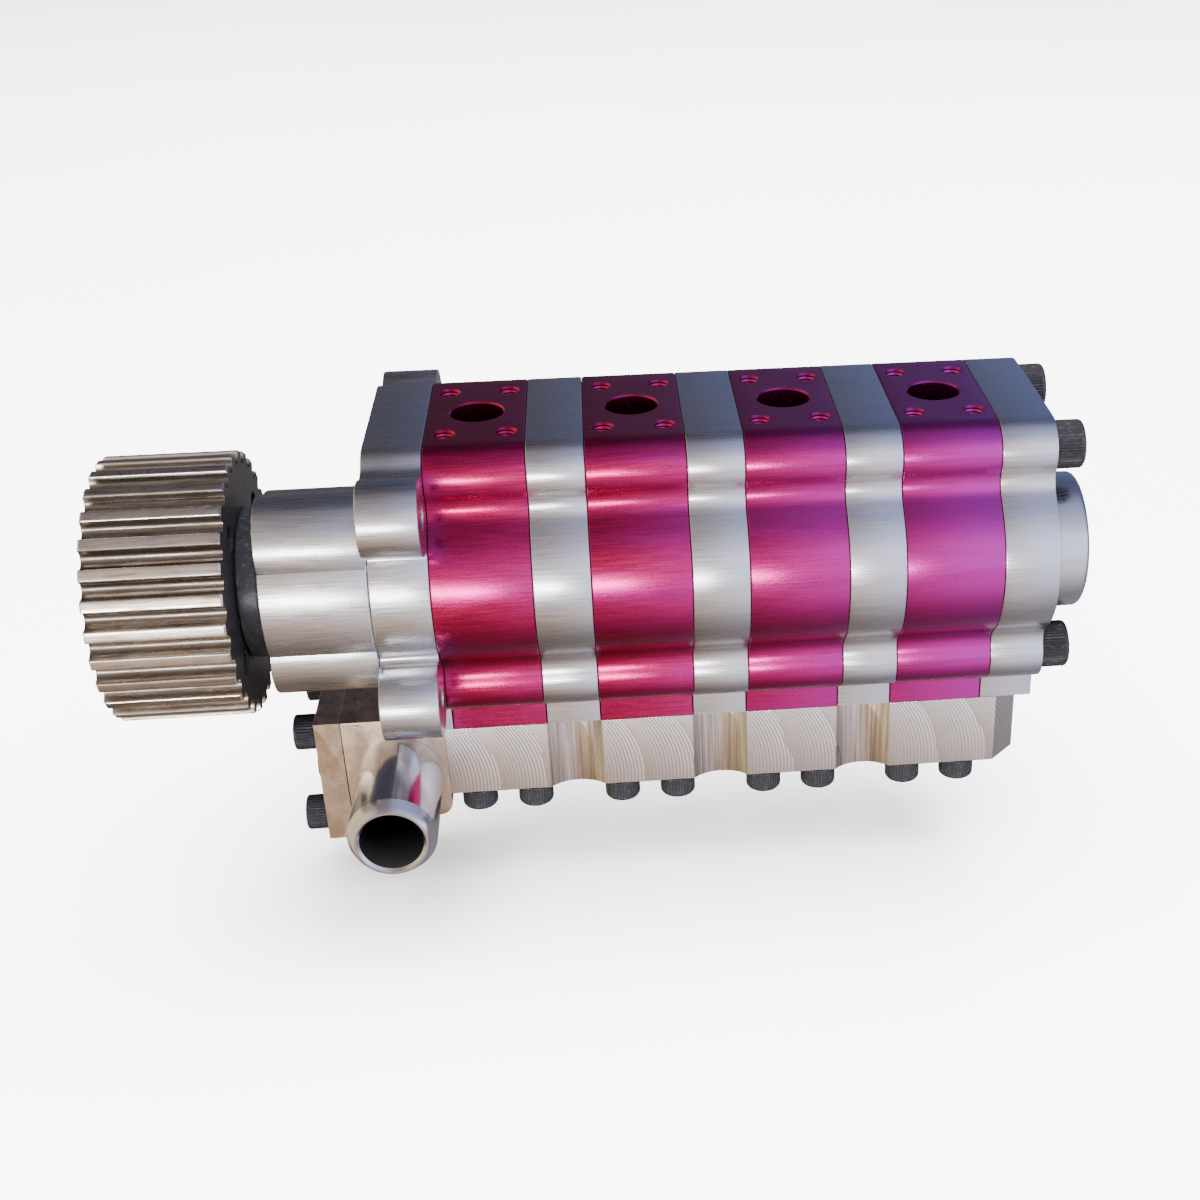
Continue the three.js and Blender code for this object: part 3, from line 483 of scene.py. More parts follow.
def slab(skin, outline, low, high, edge, axis, holes=()):
    """A plate: its outline swept with rounded edges, and two flat ends with round holes through them.

    A hole is (centre, radius).
    """
    rows = swept(skin, outline, rounded(low, high, edge), axis)
    mouths = [circle(c, r + CHAMFER, 40) for c, r in holes]
    skin.flat_face(rows[0], mouths, low, axis)
    skin.flat_face(rows[-1], mouths, high, axis)
    for c, r in holes:
        through_hole(skin, c, r, CHAMFER, (low, high), axis, 40)


def rim(radius, level, edge, way, steps=4):
    """Rounded edge of a turned piece: (radius, place) pairs on a quarter circle, from side to face."""
    t = np.linspace(0, math.pi / 2, steps + 1)
    return [(radius - edge * (1 - math.cos(a)), level - way * edge * (1 - math.sin(a))) for a in t]


# ---------------------------------------------------------------- finishes


def linear(code):
    """An sRGB colour, or its code, as linear light: ((c + 0.055) / 1.055)^2.4, or c / 12.92 where dark."""
    rgb = shares(code) if isinstance(code, str) else code
    return [c / 12.92 if c <= 0.04045 else ((c + 0.055) / 1.055) ** 2.4 for c in rgb] + [1.0]


def add(tree, kind, inputs=None, **settings):
    """Adds a node with its settings, and fills its sockets with values or with other nodes' sockets."""
    node = tree.nodes.new(kind)
    for key, value in settings.items():
        setattr(node, key, value)
    for key, value in (inputs or {}).items():
        if isinstance(value, bpy.types.NodeSocket):
            tree.links.new(value, node.inputs[key])
        else:
            node.inputs[key].default_value = value
    return node


def streaks(tree, across, along, detail=4.0, axis=0):
    """Noise drawn out along one axis. across and along are the marks' width and length, in metres."""
    here = add(tree, "ShaderNodeTexCoord").outputs["Object"]
    scale = [1 / across] * 3
    scale[axis] = 1 / along
    mapping = add(tree, "ShaderNodeMapping", {"Vector": here, "Scale": scale})
    return add(
        tree,
        "ShaderNodeTexNoise",
        {"Vector": mapping.outputs["Vector"], "Scale": 1.0, "Detail": detail, "Roughness": 0.6},
    ).outputs["Fac"]


def blend(tree, amount, first, second):
    """A colour between two others."""
    node = add(tree, "ShaderNodeMix", data_type="RGBA")
    tree.links.new(amount, node.inputs[0])
    for socket, value in ((node.inputs[6], first), (node.inputs[7], second)):
        if isinstance(value, bpy.types.NodeSocket):
            tree.links.new(value, socket)
        else:
            socket.default_value = value
    return node.outputs[2]


def spread(tree, value, low, high, to_low=0.0, to_high=1.0):
    """A value's range stretched to another, and held at its ends."""
    return add(
        tree,
        "ShaderNodeMapRange",
        {0: value, 1: low, 2: high, 3: to_low, 4: to_high},
    ).outputs[0]


def coordinates(tree):
    """The X, Y and Z of a place in the object's own frame."""
    here = add(tree, "ShaderNodeTexCoord").outputs["Object"]
    return add(tree, "ShaderNodeSeparateXYZ", {0: here}).outputs


def stained(tree, tone, hue, mark, low, high, most):
    """A colour with another over it: none where mark is low, and a share of most where it is high."""
    return blend(tree, spread(tree, mark, low, high, 0, most), tone, linear(hue))


def maths(tree, operation, *values):
    """A sum, product or other operation on values, each a number or a socket."""
    node = add(tree, "ShaderNodeMath", dict(enumerate(values)), operation=operation)
    return node.outputs[0]


def surface(tree, colour_socket, roughness, height, depth, **fixed):
    """The shader and its output. height is drawn as relief of the given depth in metres."""
    bump = add(tree, "ShaderNodeBump", {"Height": height, "Distance": depth, "Strength": 1.0})
    shader = add(
        tree,
        "ShaderNodeBsdfPrincipled",
        {
            "Base Color": colour_socket,
            "Roughness": roughness,
            "Normal": bump.outputs["Normal"],
            **{key.replace("_", " "): value for key, value in fixed.items()},
        },
    )
    add(tree, "ShaderNodeOutputMaterial", {"Surface": shader.outputs["BSDF"]})


def anodised_aluminium(tree, hues):
    """Dyed oxide over fine lengthwise milling: a deep colour on the metal, with a thin clear gloss, and a
    painted reflection: violet laid on more and more towards the rear.
    """
    fine = streaks(tree, 0.35 * MM, 9 * MM)
    grain = streaks(tree, 0.25 * MM, 0.5 * MM, 2.0)
    broad = streaks(tree, 9 * MM, 60 * MM, 2.0)
    both = maths(tree, "ADD", maths(tree, "MULTIPLY", fine, 0.6), maths(tree, "MULTIPLY", grain, 0.4))
    tone = blend(tree, spread(tree, both, 0.38, 0.62), linear(hues.anodise_deep), linear(hues.anodise))
    tone = stained(tree, tone, hues.violet_dye_and_reflection, broad, 0.45, 0.75, 0.35)
    # Painted reflection: the violet grows from 60 to 165 mm along X and stands in for a violet highlight on
    # the rear sections.
    along = coordinates(tree)["X"]
    tone = stained(tree, tone, hues.violet_dye_and_reflection, along, 60 * MM, 165 * MM, 0.75)
    surface(
        tree,
        tone,
        spread(tree, both, 0.3, 0.7, 0.2, 0.34),
        both,
        0.014 * MM,
        Metallic=1.0,
        Coat_Weight=0.2,
        Coat_Roughness=0.2,
    )


def brushed_aluminium(tree, hues):
    """Plate milled and brushed lengthwise: soft silver with fine lines and faint cool and rosy streaks."""
    fine = streaks(tree, 0.3 * MM, 10 * MM)
    broad = streaks(tree, 5 * MM, 80 * MM, 2.0)
    tone = blend(tree, spread(tree, fine, 0.35, 0.65), linear(hues.aluminium_cool), linear(hues.aluminium))
    tone = stained(tree, tone, "#D9C8C4", broad, 0.5, 0.72, 0.45)
    tone = stained(tree, tone, "#B4BCD6", broad, 0.46, 0.3, 0.4)
    surface(tree, tone, spread(tree, fine, 0.3, 0.7, 0.2, 0.36), fine, 0.014 * MM, Metallic=1.0)


def milled_aluminium(tree, hues):
    """Block faced with a fly cutter: fine arcs at the feed's pitch, in crescents where its passes overlap.

    The reliefs, inside the block's two long faces, are plunge-cut: browner, with streaks up and down.
    The collector and its plate take a dull tan, with patchy scuffs: the tan paints the outlet tube's shadow,
    over the whole collector.
    """
    parts = coordinates(tree)
    radius = 30 * MM  # of the fly cutter's arcs
    level = maths(tree, "SUBTRACT", parts["Z"], -66 * MM)  # from the height of the cutter's middle
    drop = maths(tree, "SUBTRACT", radius * radius, maths(tree, "MULTIPLY", level, level))
    reach = maths(tree, "SQRT", maths(tree, "MAXIMUM", drop, 1e-8))
    sweep = maths(tree, "SUBTRACT", parts["X"], reach)
    feed = 1.0 * MM  # between two arcs
    line = maths(tree, "SINE", maths(tree, "MULTIPLY", sweep, TURN / feed))
    wander = maths(tree, "MULTIPLY", streaks(tree, 20 * MM, 20 * MM, 2.0), 7 * MM)
    passes = maths(tree, "MULTIPLY", maths(tree, "ADD", sweep, wander), 1 / (14 * MM))
    crescent = maths(tree, "FRACT", passes)
    grain = streaks(tree, 0.3 * MM, 3 * MM)
    shade = maths(tree, "ADD", spread(tree, crescent, 0, 1, 0, 0.8), maths(tree, "MULTIPLY", grain, 0.3))
    tone = blend(tree, shade, linear(hues.milled_warm), linear(hues.milled))
    scored = maths(tree, "MULTIPLY", line, spread(tree, crescent, 0.1, 0.5, 0.2, 1.0))
    tone = stained(tree, tone, hues.milled_warm, scored, 0.1, 1, 0.28)
    relief = maths(tree, "ADD", maths(tree, "MULTIPLY", scored, 0.9), grain)
    plunge = streaks(tree, 0.8 * MM, 30 * MM, axis=2)
    off = maths(tree, "ABSOLUTE", maths(tree, "SUBTRACT", parts["Y"], middle_of("manifold_end_plate", 1)))
    sunk = spread(tree, off, 19.4 * MM, 19.2 * MM)
    for edge, past in ((13 * MM, 13.2 * MM), (169 * MM, 168.8 * MM)):
        sunk = maths(tree, "MULTIPLY", sunk, spread(tree, parts["X"], edge, past))
    bare = blend(tree, spread(tree, plunge, 0.35, 0.65), linear("#9A8A7C"), linear("#D2C6BA"))
    tone = blend(tree, sunk, tone, bare)
    relief = add(tree, "ShaderNodeMix", {0: sunk, 2: relief, 3: plunge}).outputs[0]
    # Painted shadow: the collector's dull tan stands for the outlet tube's shadow; the scuffs in it are
    # random.
    scuffs = streaks(tree, 6 * MM, 5 * MM, 5.0)
    dull = blend(tree, spread(tree, scuffs, 0.4, 0.62), linear("#B4A08A"), linear("#D0BFAC"))
    plain = spread(tree, parts["X"], 12.9 * MM, 12.6 * MM)
    tone = blend(tree, plain, tone, dull)
    relief = add(tree, "ShaderNodeMix", {0: plain, 2: relief, 3: grain}).outputs[0]
    surface(tree, tone, spread(tree, shade, 0.2, 1, 0.4, 0.24), relief, 0.045 * MM, Metallic=1.0)


def turned_aluminium(tree, hues):
    """Polished turned tube: nearly a mirror, with faint rings round its axis."""
    rings = streaks(tree, 40 * MM, 0.35 * MM, axis=1)
    broad = streaks(tree, 14 * MM, 30 * MM, 2.0, axis=1)
    tone = blend(tree, spread(tree, rings, 0.35, 0.65, 0, 0.5), linear(hues.turned), linear("#B8B4C0"))
    tone = stained(tree, tone, "#CDBE9C", broad, 0.5, 0.75, 0.5)
    surface(tree, tone, spread(tree, rings, 0.3, 0.7, 0.12, 0.2), rings, 0.006 * MM, Metallic=1.0)


def bore_in_painted_shade(tree, hues):
    """Drilled bore: a dark grey with rings from the drill, the dark grey being painted shade inside the
    bore.
    """
    rings = streaks(tree, 30 * MM, 0.5 * MM, axis=1)
    tone = blend(tree, spread(tree, rings, 0.35, 0.65), linear("#26262A"), linear("#3C3A3A"))
    surface(tree, tone, spread(tree, rings, 0.3, 0.7, 0.35, 0.5), rings, 0.02 * MM, Metallic=0.8)


def plated_steel(tree, hues):
    """Passivated plating: straw-coloured, mottled and lightly stained, with lengthwise cutter lines.

    It darkens with depth in the grooves, by the distance from the shaft: sqrt(y^2 + z^2), as painted shade
    and dirt; everything inside 32.4 mm takes it fully.
    """
    fine = streaks(tree, 0.35 * MM, 8 * MM)
    mottle = streaks(tree, 4 * MM, 9 * MM, 5.0)
    stain = streaks(tree, 1.2 * MM, 14 * MM, 5.0)
    tone = blend(tree, spread(tree, fine, 0.35, 0.65, 0, 0.6), linear(hues.plating), linear("#CFC6BA"))
    tone = stained(tree, tone, "#C4AA9C", mottle, 0.5, 0.7, 0.55)
    tone = stained(tree, tone, hues.plating_dark, stain, 0.52, 0.72, 0.8)
    here = add(tree, "ShaderNodeTexCoord").outputs["Object"]
    across = add(tree, "ShaderNodeVectorMath", {0: here, 1: (0, 1, 1)}, operation="MULTIPLY").outputs[0]
    away = add(tree, "ShaderNodeVectorMath", {0: across}, operation="LENGTH").outputs["Value"]
    # Painted shade, with dirt: darker towards the shaft, deepest in the grooves' floors and over the faces
    # inside the rim.
    tone = stained(tree, tone, "#40362E", away, 34.3 * MM, 32.4 * MM, 0.8)
    surface(tree, tone, spread(tree, stain, 0.3, 0.75, 0.2, 0.4), fine, 0.03 * MM, Metallic=1.0)


def black_oxide(tree, hues):
    """Oiled black oxide on steel: nearly black, with a dull sheen and a few lighter rubs."""
    rubs = streaks(tree, 0.8 * MM, 1.2 * MM, 4.0)
    tone = blend(tree, spread(tree, rubs, 0.55, 0.75, 0, 0.6), linear(hues.oxide), linear("#5A5650"))
    surface(tree, tone, spread(tree, rubs, 0.3, 0.7, 0.26, 0.42), rubs, 0.01 * MM, Metallic=0.7)


def ground_steel(tree, hues):
    """Ground steel: grey, with fine lines round the shafts."""
    lines = streaks(tree, 8 * MM, 0.3 * MM)
    tone = blend(tree, spread(tree, lines, 0.35, 0.65), linear("#86888C"), linear(hues.steel))
    surface(tree, tone, spread(tree, lines, 0.3, 0.7, 0.24, 0.4), lines, 0.01 * MM, Metallic=1.0)


def seal_rubber(tree, hues):
    """Moulded nitrile rubber: dull black with a fine grain."""
    grain = streaks(tree, 0.4 * MM, 0.4 * MM)
    tone = blend(tree, grain, linear(hues.rubber), linear("#242424"))
    surface(tree, tone, spread(tree, grain, 0.3, 0.7, 0.6, 0.8), grain, 0.02 * MM, Metallic=0.0)


def studio_floor(tree, hues):
    """Matt painted board: pale and even, with a very faint unevenness."""
    haze = streaks(tree, 300 * MM, 300 * MM, 2.0)
    tone = blend(tree, haze, linear(hues.floor), linear("#F8F8F8"))
    surface(tree, tone, spread(tree, haze, 0.3, 0.7, 0.7, 0.8), haze, 0.01 * MM, Metallic=0.0)


FINISHES = {
    "anodised": anodised_aluminium,
    "brushed": brushed_aluminium,
    "milled": milled_aluminium,
    "turned": turned_aluminium,
    "bored": bore_in_painted_shade,
    "plated": plated_steel,
    "oxide": black_oxide,
    "steel": ground_steel,
    "rubber": seal_rubber,
    "floor": studio_floor,
}


def material(name):
    """The finish of that name, made the first time it is asked for."""
    known = bpy.data.materials.get(name)
    if known:
        return known
    made = bpy.data.materials.new(name)
    made.use_nodes = True
    made.node_tree.nodes.clear()
    FINISHES[name](made.node_tree, bpy.context.scene.pump_finish)
    return made


# ---------------------------------------------------------------- operators


def gear_top(size):
    """Height of the chamber's roof above the shafts, as a function of places in (x, y)."""

    def height(points):
        """sqrt(radius^2 - distance^2), from the nearer shaft."""
        y = points[:, 1]
        across = np.minimum(np.abs(y), np.abs(y - size.shaft_centres))
        return np.sqrt(np.maximum(size.chamber**2 - across**2, 0))

    return height


def chamber_outline(size, opening):
    """Both gear chambers' arcs in (y, z), from one side of the port's opening round to the other."""
    middle = size.shaft_centres / 2
    cusp = math.acos(middle / size.chamber)
    edge = math.acos((middle - opening) / size.chamber)
    left = arc((0, 0), size.chamber, edge, TURN - cusp)
    right = left[::-1] * [-1, 1] + [2 * middle, 0]
    return np.concatenate([left, right[1:]])


def section_wall(skin, ring, side, profile):
    """Outside of a section, with its top flat left open: the ring moved in by the profile, row by row.

    It is swept in three strips. The middle one, between the rounded edges, has only the ring's first points,
    as many as side says, and so leaves out the top.
    """
    rows = ring[None] - profile[:, 1, None, None] * normals_of(ring)[None]
    wall = place(rows, profile[:, :1], "x")
    half = len(profile) // 2
    skin.grid(wall[:half])
    skin.grid(wall[half:])
    skin.grid(wall[half - 1 : half + 1, :side], closed=False)
    return rows


def strip(across, low, high):
    """A rectangle's outline in (x, y): over the places across at the high end, and back at the low one."""
    there = np.stack([np.full_like(across, high), across], 1)
    back = np.stack([np.full_like(across, low), across[::-1]], 1)
    return np.concatenate([there, back])


def section_holes(skin, face, top, centre, roof, ports):
    """The top flat, round the mouths of the port and of the four tapped holes, and those holes.

    The port goes down to the chamber's curved roof.
    """
    mouth = circle(centre, ports.port + ports.port_edge, 64)
    taps = corners(centre, ports.half_x, ports.half_y)
    tap_mouths = [circle(c, ports.tap + ports.tap_edge, 32) for c in taps]
    skin.flat_face(face, [mouth, *tap_mouths], top, "z")
    bore = circle(centre, ports.port, 64)
    throat = place(bore, top - ports.port_edge, "z")
    skin.grid(np.stack([place(mouth, top, "z"), throat, place(bore, roof(bore), "z")]))
    for c in taps:
        blind_hole(skin, c, tapped_wall(ports, top), "z", 32)


def section_chamber(skin, rows, low, high, centre, roof, stack, ports):
    """The chamber's round walls, its roof as a face with the port's hole, and the flat ends round it all.

    The roof reaches a little past the port to either side, and holds points of its own to follow the curve.
    """
    middle = centre[1]
    opening = ports.port + 2 * MM
    chamber = chamber_outline(stack, opening)
    span = np.array([[low], [high]])
    skin.grid(place(np.repeat(chamber[None], 2, 0), span, "x"), closed=False)
    roof_y = np.linspace(middle - opening, middle + opening, 13)
    roof_x = np.linspace(low, high, 7)
    grid = np.stack(np.meshgrid(roof_x[1:-1], roof_y[1:-1]), -1).reshape(-1, 2)
    clear = np.hypot(grid[:, 0] - centre[0], grid[:, 1] - middle) > ports.port + 0.5 * MM
    bore = circle(centre, ports.port, 64)
    skin.flat_face(strip(roof_y, low, high), [bore], roof, "z", inner=grid[clear])
    ridge = np.stack([roof_y[1:-1], roof(np.stack([roof_y * 0, roof_y], 1))[1:-1]], 1)
    hole = np.concatenate([chamber, ridge[::-1]])
    skin.flat_face(rows[0], [hole], low, "x")
    skin.flat_face(rows[-1], [hole], high, "x")


def section_mesh(skin, low, high, stack, ports):
    """A section: its outline swept with rounded edges, the top flat with five holes, and the chamber."""
    outline = stack_outline(stack)
    middle = stack.shaft_centres / 2
    centre = ((low + high) / 2, middle)
    top = stack.bolt_z + stack.lobe
    y_low, y_high = middle - stack.bolt_y, middle + stack.bolt_y
    across = np.linspace(y_high, y_low, 12)[1:-1]
    lid = np.stack([across, np.full_like(across, top)], 1)
    profile = rounded(low, high, stack.edge)
    rows = section_wall(skin, np.concatenate([outline, lid]), len(outline), profile)
    half = len(profile) // 2
    lid_y = np.concatenate([[y_low], across[::-1], [y_high]])
    face = strip(lid_y, profile[half - 1, 0], profile[half, 0])
    roof = gear_top(stack)
    section_holes(skin, face, top, centre, roof, ports)
    section_chamber(skin, rows, profile[0, 0], profile[-1, 0], centre, roof, stack, ports)


def tapped_wall(ports, top):
    """Wall of a tapped hole, as (radius, place) pairs: a chamfer, then a zigzag at the thread's pitch."""
    radius, pitch, start = ports.tap, ports.tap_pitch, top - ports.tap_edge
    root = 0.3 * pitch  # depth of the thread
    wall = [(radius + ports.tap_edge, top), (radius, start)]
    for i in range(int((ports.tap_depth - ports.tap_edge) / pitch)):
        wall += [(radius + root, start - (i + 0.5) * pitch), (radius, start - (i + 1) * pitch)]
    wall.append((radius, top - ports.tap_depth))
    return wall


class PUMP_OT_sections(bpy.types.Operator):
    """Pump sections, with ports, tapped holes and gear chambers"""

    bl_idname = "pump.sections"
    bl_label = "Pump sections"
    bl_options = {"REGISTER", "UNDO"}

    def execute(self, context):
        for i in range(1, 5):
            node = f"pump_section_{i}"
            low, high = edges_of(node, 0)
            skin = Skin()
            section_mesh(skin, low, high, context.scene.pump_stack, context.scene.pump_ports)
            skin.piece(f"section_{i}", ["anodised"], HOUSING, "anodised_magenta", node)
        return {"FINISHED"}


class PUMP_OT_separators(bpy.types.Operator):
    """Plain plates between the sections"""

    bl_idname = "pump.separators"
    bl_label = "Separator plates"
    bl_options = {"REGISTER", "UNDO"}

    def execute(self, context):
        size = context.scene.pump_stack
        for i in range(1, 4):
            node = f"separator_{i}"
            skin = Skin()
            slab(skin, stack_outline(size), *edges_of(node, 0), size.edge, "x")
            skin.piece(f"plate_{i}", ["brushed"], HOUSING, "brushed_aluminium", node)
        return {"FINISHED"}


class PUMP_OT_front_cover(bpy.types.Operator):
    """Front cover with four mounting ears"""

    bl_idname = "pump.front_cover"
    bl_label = "Front cover"
    bl_options = {"REGISTER", "UNDO"}

    def execute(self, context):
        size = context.scene.pump_stack
        ears = corners((size.shaft_centres / 2, 0), size.ear_y, size.ear_z)
        holes = [(ear, size.ear_hole) for ear in ears]
        skin = Skin()
        edges = edges_of("front_cover", 0)
        slab(skin, stack_outline(size, eared=True), *edges, size.edge, "x", holes)
        skin.piece("cover_with_ears", ["brushed"], HOUSING, "brushed_aluminium", "front_cover")
        return {"FINISHED"}


class PUMP_OT_end_cover(bpy.types.Operator):
    """End cover and the turned cap over the rear bearing"""

    bl_idname = "pump.end_cover"
    bl_label = "End cover and cap"
    bl_options = {"REGISTER", "UNDO"}

    def execute(self, context):
        size = context.scene.pump_stack
        skin = Skin()
        slab(skin, stack_outline(size), *edges_of("end_cover", 0), size.edge, "x")
        skin.piece("rear_plate", ["brushed"], HOUSING, "brushed_aluminium", "end_cover")
        low, high = edges_of("rear_cap", 0)
        bevel = 0.2 * MM
        profile = [(size.cap - bevel, low), (size.cap, low + bevel)]
        profile += rim(size.cap, high, size.cap_edge, 1, 6)
        skin = Skin()
        rows = turned(skin, (0, 0), profile, "x", 96)
        skin.polygon(place(rows[0], low, "x"))
        skin.polygon(place(rows[-1], high, "x"))
        skin.piece("bearing_cap", ["brushed"], HOUSING, "brushed_aluminium", "rear_cap")
        return {"FINISHED"}


def nose_outline(size):
    """Outline of the nose in (y, z): three lobes at thirds of a turn, and the round body between them.

    half is the angle from a lobe's middle to where the two circles cross, by the law of cosines.
    """
    r, l, q = size.nose, size.nose_offset, size.nose_lobe
    half = math.acos((r * r + l * l - q * q) / (2 * r * l))
    local = math.atan2(r * math.sin(half), r * math.cos(half) - l)
    points = []
    for k in range(3):
        t = TURN * k / 3
        centre = (l * math.cos(t), l * math.sin(t))
        points.append(arc(centre, q, t - local, t + local, 0.06))
        points.append(arc((0, 0), r, t + half, t + TURN / 3 - half, 0.05)[1:-1])
    return np.concatenate(points)


class PUMP_OT_nose(bpy.types.Operator):
    """Three-lobed nose housing, with its screw sinks and bearing seat"""

    bl_idname = "pump.nose"
    bl_label = "Nose housing"
    bl_options = {"REGISTER", "UNDO"}

    def execute(self, context):
        size = context.scene.pump_drive
        low = edges_of("nose_housing", 0)[0]
        high = edges_of("front_cover", 0)[0] - GAP
        skin = Skin()
        rows = swept(skin, nose_outline(size), rounded(low, high, 0.5 * MM), "x")
        sinks = circle((0, 0), size.nose_screw, 3)
        mouths = [circle(c, size.nose_sink, 40) for c in sinks]
        seat = circle((0, 0), size.seat + CHAMFER, 96)
        skin.flat_face(rows[0], [seat, *mouths], low, "x")
        skin.polygon(place(rows[-1], high, "x"))
        for c in sinks:
            wall = [(size.nose_sink, low), (size.nose_sink, low + size.nose_sink_depth)]
            blind_hole(skin, c, wall, "x", 40)
        wall = [(size.seat + CHAMFER, low), (size.seat, low + CHAMFER), (size.seat, low + size.seat_depth)]
        blind_hole(skin, (0, 0), wall, "x", 96)
        skin.piece("nose", ["brushed"], HOUSING, "turned_aluminium", "nose_housing")
        return {"FINISHED"}


def pulley_outline(size, radius):
    """Toothed outline in (y, z). Each pitch is a land on the rim's circle, rounded edges, and a groove.

    The groove's walls go straight down, and its floor is half an ellipse as wide as the groove.
    """
    half = size.groove_width / 2
    edge = size.tooth_edge
    floor = size.groove_depth - half
    t = np.linspace(0, math.pi / 2, 4)
    corner = np.stack([half + edge * (1 - np.sin(t)), -edge * (1 - np.cos(t))], 1)
    s = np.linspace(0, math.pi, 11)
    bowl = np.stack([half * np.cos(s), -floor - half * np.sin(s)], 1)
    groove = np.concatenate([corner, bowl, corner[::-1] * [-1, 1]])
    pitch = TURN / size.teeth
    reach = (half + edge) / radius
    land = np.linspace(-pitch + reach, -reach, 5)[1:-1]
    angle = np.concatenate([land, -groove[:, 0] / radius])
    depth = np.concatenate([np.zeros(3), groove[:, 1]])
    turns = pitch * np.arange(size.teeth)[:, None]
    angle = (turns + angle[None]).ravel()
    away = np.tile(radius + depth, size.teeth)
    return np.stack([away * np.cos(angle), away * np.sin(angle)], 1)


class PUMP_OT_pulley(bpy.types.Operator):
    """Toothed belt pulley"""

    bl_idname = "pump.pulley"
    bl_label = "Toothed pulley"
    bl_options = {"REGISTER", "UNDO"}
    HOLE_TURN = TURN / 10  # of the first face hole, from +Y

    def execute(self, context):
        size = context.scene.pump_drive
        low, high = edges_of("belt_pulley", 0)
        radius = edges_of("belt_pulley", 2)[1]
        outline = pulley_outline(size, radius)
        away = np.linalg.norm(outline, axis=1)
        skin = Skin()
        cone = np.array([[low, size.rim_edge], [low + size.rim_edge, 0]])
        cone = np.concatenate([cone, [[high - size.rim_edge, 0], [high, size.rim_edge]]])
        limit = np.minimum(away[None], radius - cone[:, 1:2])
        rows = outline[None] * (limit / away)[..., None]
        skin.grid(place(rows, cone[:, :1], "x"))
        holes = circle((0, 0), size.face_hole_offset, 4, self.HOLE_TURN)
        edge = CHAMFER
        mouths = [circle(c, size.face_hole + edge, 32) for c in holes]
        front = circle((0, 0), size.recess + edge, 96)
        back = circle((0, 0), size.spigot + edge, 96)
        skin.flat_face(rows[0], [front, *mouths], low, "x")
        # Painted shade: the rear face and the holes' walls take the black oxide finish, which stands in for
        # the shadow on that face.
        skin.flat_face(rows[-1], [back, *mouths], high, "x", slot=1)
        for c in holes:
            through_hole(skin, c, size.face_hole, edge, (low, high), "x", 32, slot=1)
        floor = low + size.recess_depth
        seat = size.spigot + GAP
        wall = [(size.recess + edge, low), (size.recess, low + edge), (size.recess, floor - edge)]
        wall += [(size.recess - edge, floor), (seat, floor), (seat, high - edge), (size.spigot + edge, high)]
        turned(skin, (0, 0), wall, "x", 96)
        finishes = ["plated", "oxide"]
        skin.piece("toothed_pulley", finishes, DRIVE, "passivated_steel", "belt_pulley", smooth=30)
        return {"FINISHED"}


class PUMP_OT_hub(bpy.types.Operator):
    """Hub behind the pulley, and the washer in its recess"""

    bl_idname = "pump.hub"
    bl_label = "Hub and washer"
    bl_options = {"REGISTER", "UNDO"}

    def execute(self, context):
        size = context.scene.pump_drive
        shaft = edges_of("drive_shaft", 2)[1] + GAP
        low, high = edges_of("pulley_hub", 0)
        flange = edges_of("belt_pulley", 0)[1] + GAP
        outer = edges_of("pulley_hub", 2)[1]
        edge = 0.5 * MM
        profile = [(shaft, low), (size.spigot - edge, low), (size.spigot, low + edge)]
        profile += [(size.spigot, flange), (outer - edge, flange), (outer, flange + edge)]
        profile += rim(outer, high, edge, 1)
        profile += [(shaft, high), (shaft, low)]
        skin = Skin()
        turned(skin, (0, 0), profile, "x", 96)
        skin.piece("hub", ["oxide"], DRIVE, "black_oxide_steel", "pulley_hub")
        low, high = edges_of("pulley_washer", 0)
        outer = edges_of("pulley_washer", 2)[1]
        edge = 0.3 * MM
        hole = 4.2 * MM
        profile = [(hole, low), (outer - edge, low), (outer, low + edge)]
        profile += [(outer, high - edge), (outer - edge, high), (hole, high), (hole, low)]
        skin = Skin()
        turned(skin, (0, 0), profile, "x", 72)
        skin.piece("washer", ["steel"], DRIVE, "ground_steel", "pulley_washer")
        return {"FINISHED"}


def screw_mesh(skin, centre, start, end, axis, head, height, shank, hexagon, knurls):
    """A socket-head screw, turned about its axis. The knurled band's radius goes in and out round the head.

    It is head - depth * (1 - cos(knurls * angle)) / 2. Along the axis, start is the head's outer face and
    end is the shank's tip. hexagon is half the distance across the socket's flats.
    """
    way = 1 if end > start else -1
    count = knurls * 4
    ring = circle((0, 0), 1, count)
    wave = (1 - np.cos(np.arange(count) * TURN / 4)) / 2
    edge = 0.16 * head
    t = np.linspace(0, math.pi / 2, 5)
    dome = [(head - edge * (1 - math.sin(a)), edge * (1 - math.cos(a)), 0) for a in t]
    profile = dome + [(head, edge + 0.3 * MM, 1), (head, height - 0.5 * MM, 1)]
    profile += [(head - 0.3 * MM, height, 0), (shank, height, 0)]
    tip = abs(end - start)
    profile += [(shank, tip - 0.6 * MM, 0), (shank - 0.6 * MM, tip, 0)]
    profile = np.array(profile)
    radius = profile[:, :1] - 0.05 * head * profile[:, 2:] * wave[None]
    rows = np.asarray(centre) + radius[..., None] * ring[None]
    skin.grid(place(rows, start + way * profile[:, 1:2], axis))
    corner = hexagon / math.cos(math.pi / 6)
    socket = circle(centre, corner, 6)
    chamfer = circle(centre, corner + 0.15 * MM, 6)
    skin.flat_face(rows[0], [chamfer], start, axis)
    depth = 0.5 * height
    walls = [place(chamfer, start, axis), place(socket, start + way * 0.15 * MM, axis)]
    walls.append(place(socket, start + way * depth, axis))
    skin.grid(np.stack(walls))
    skin.polygon(walls[-1])
    skin.polygon(place(rows[-1], end, axis))


M6 = {"head": 5 * MM, "height": 6 * MM, "shank": 3 * MM, "hexagon": 2.5 * MM, "knurls": 40}
M8 = {"head": 6.5 * MM, "height": 8 * MM, "shank": 4 * MM, "hexagon": 3 * MM, "knurls": 48}


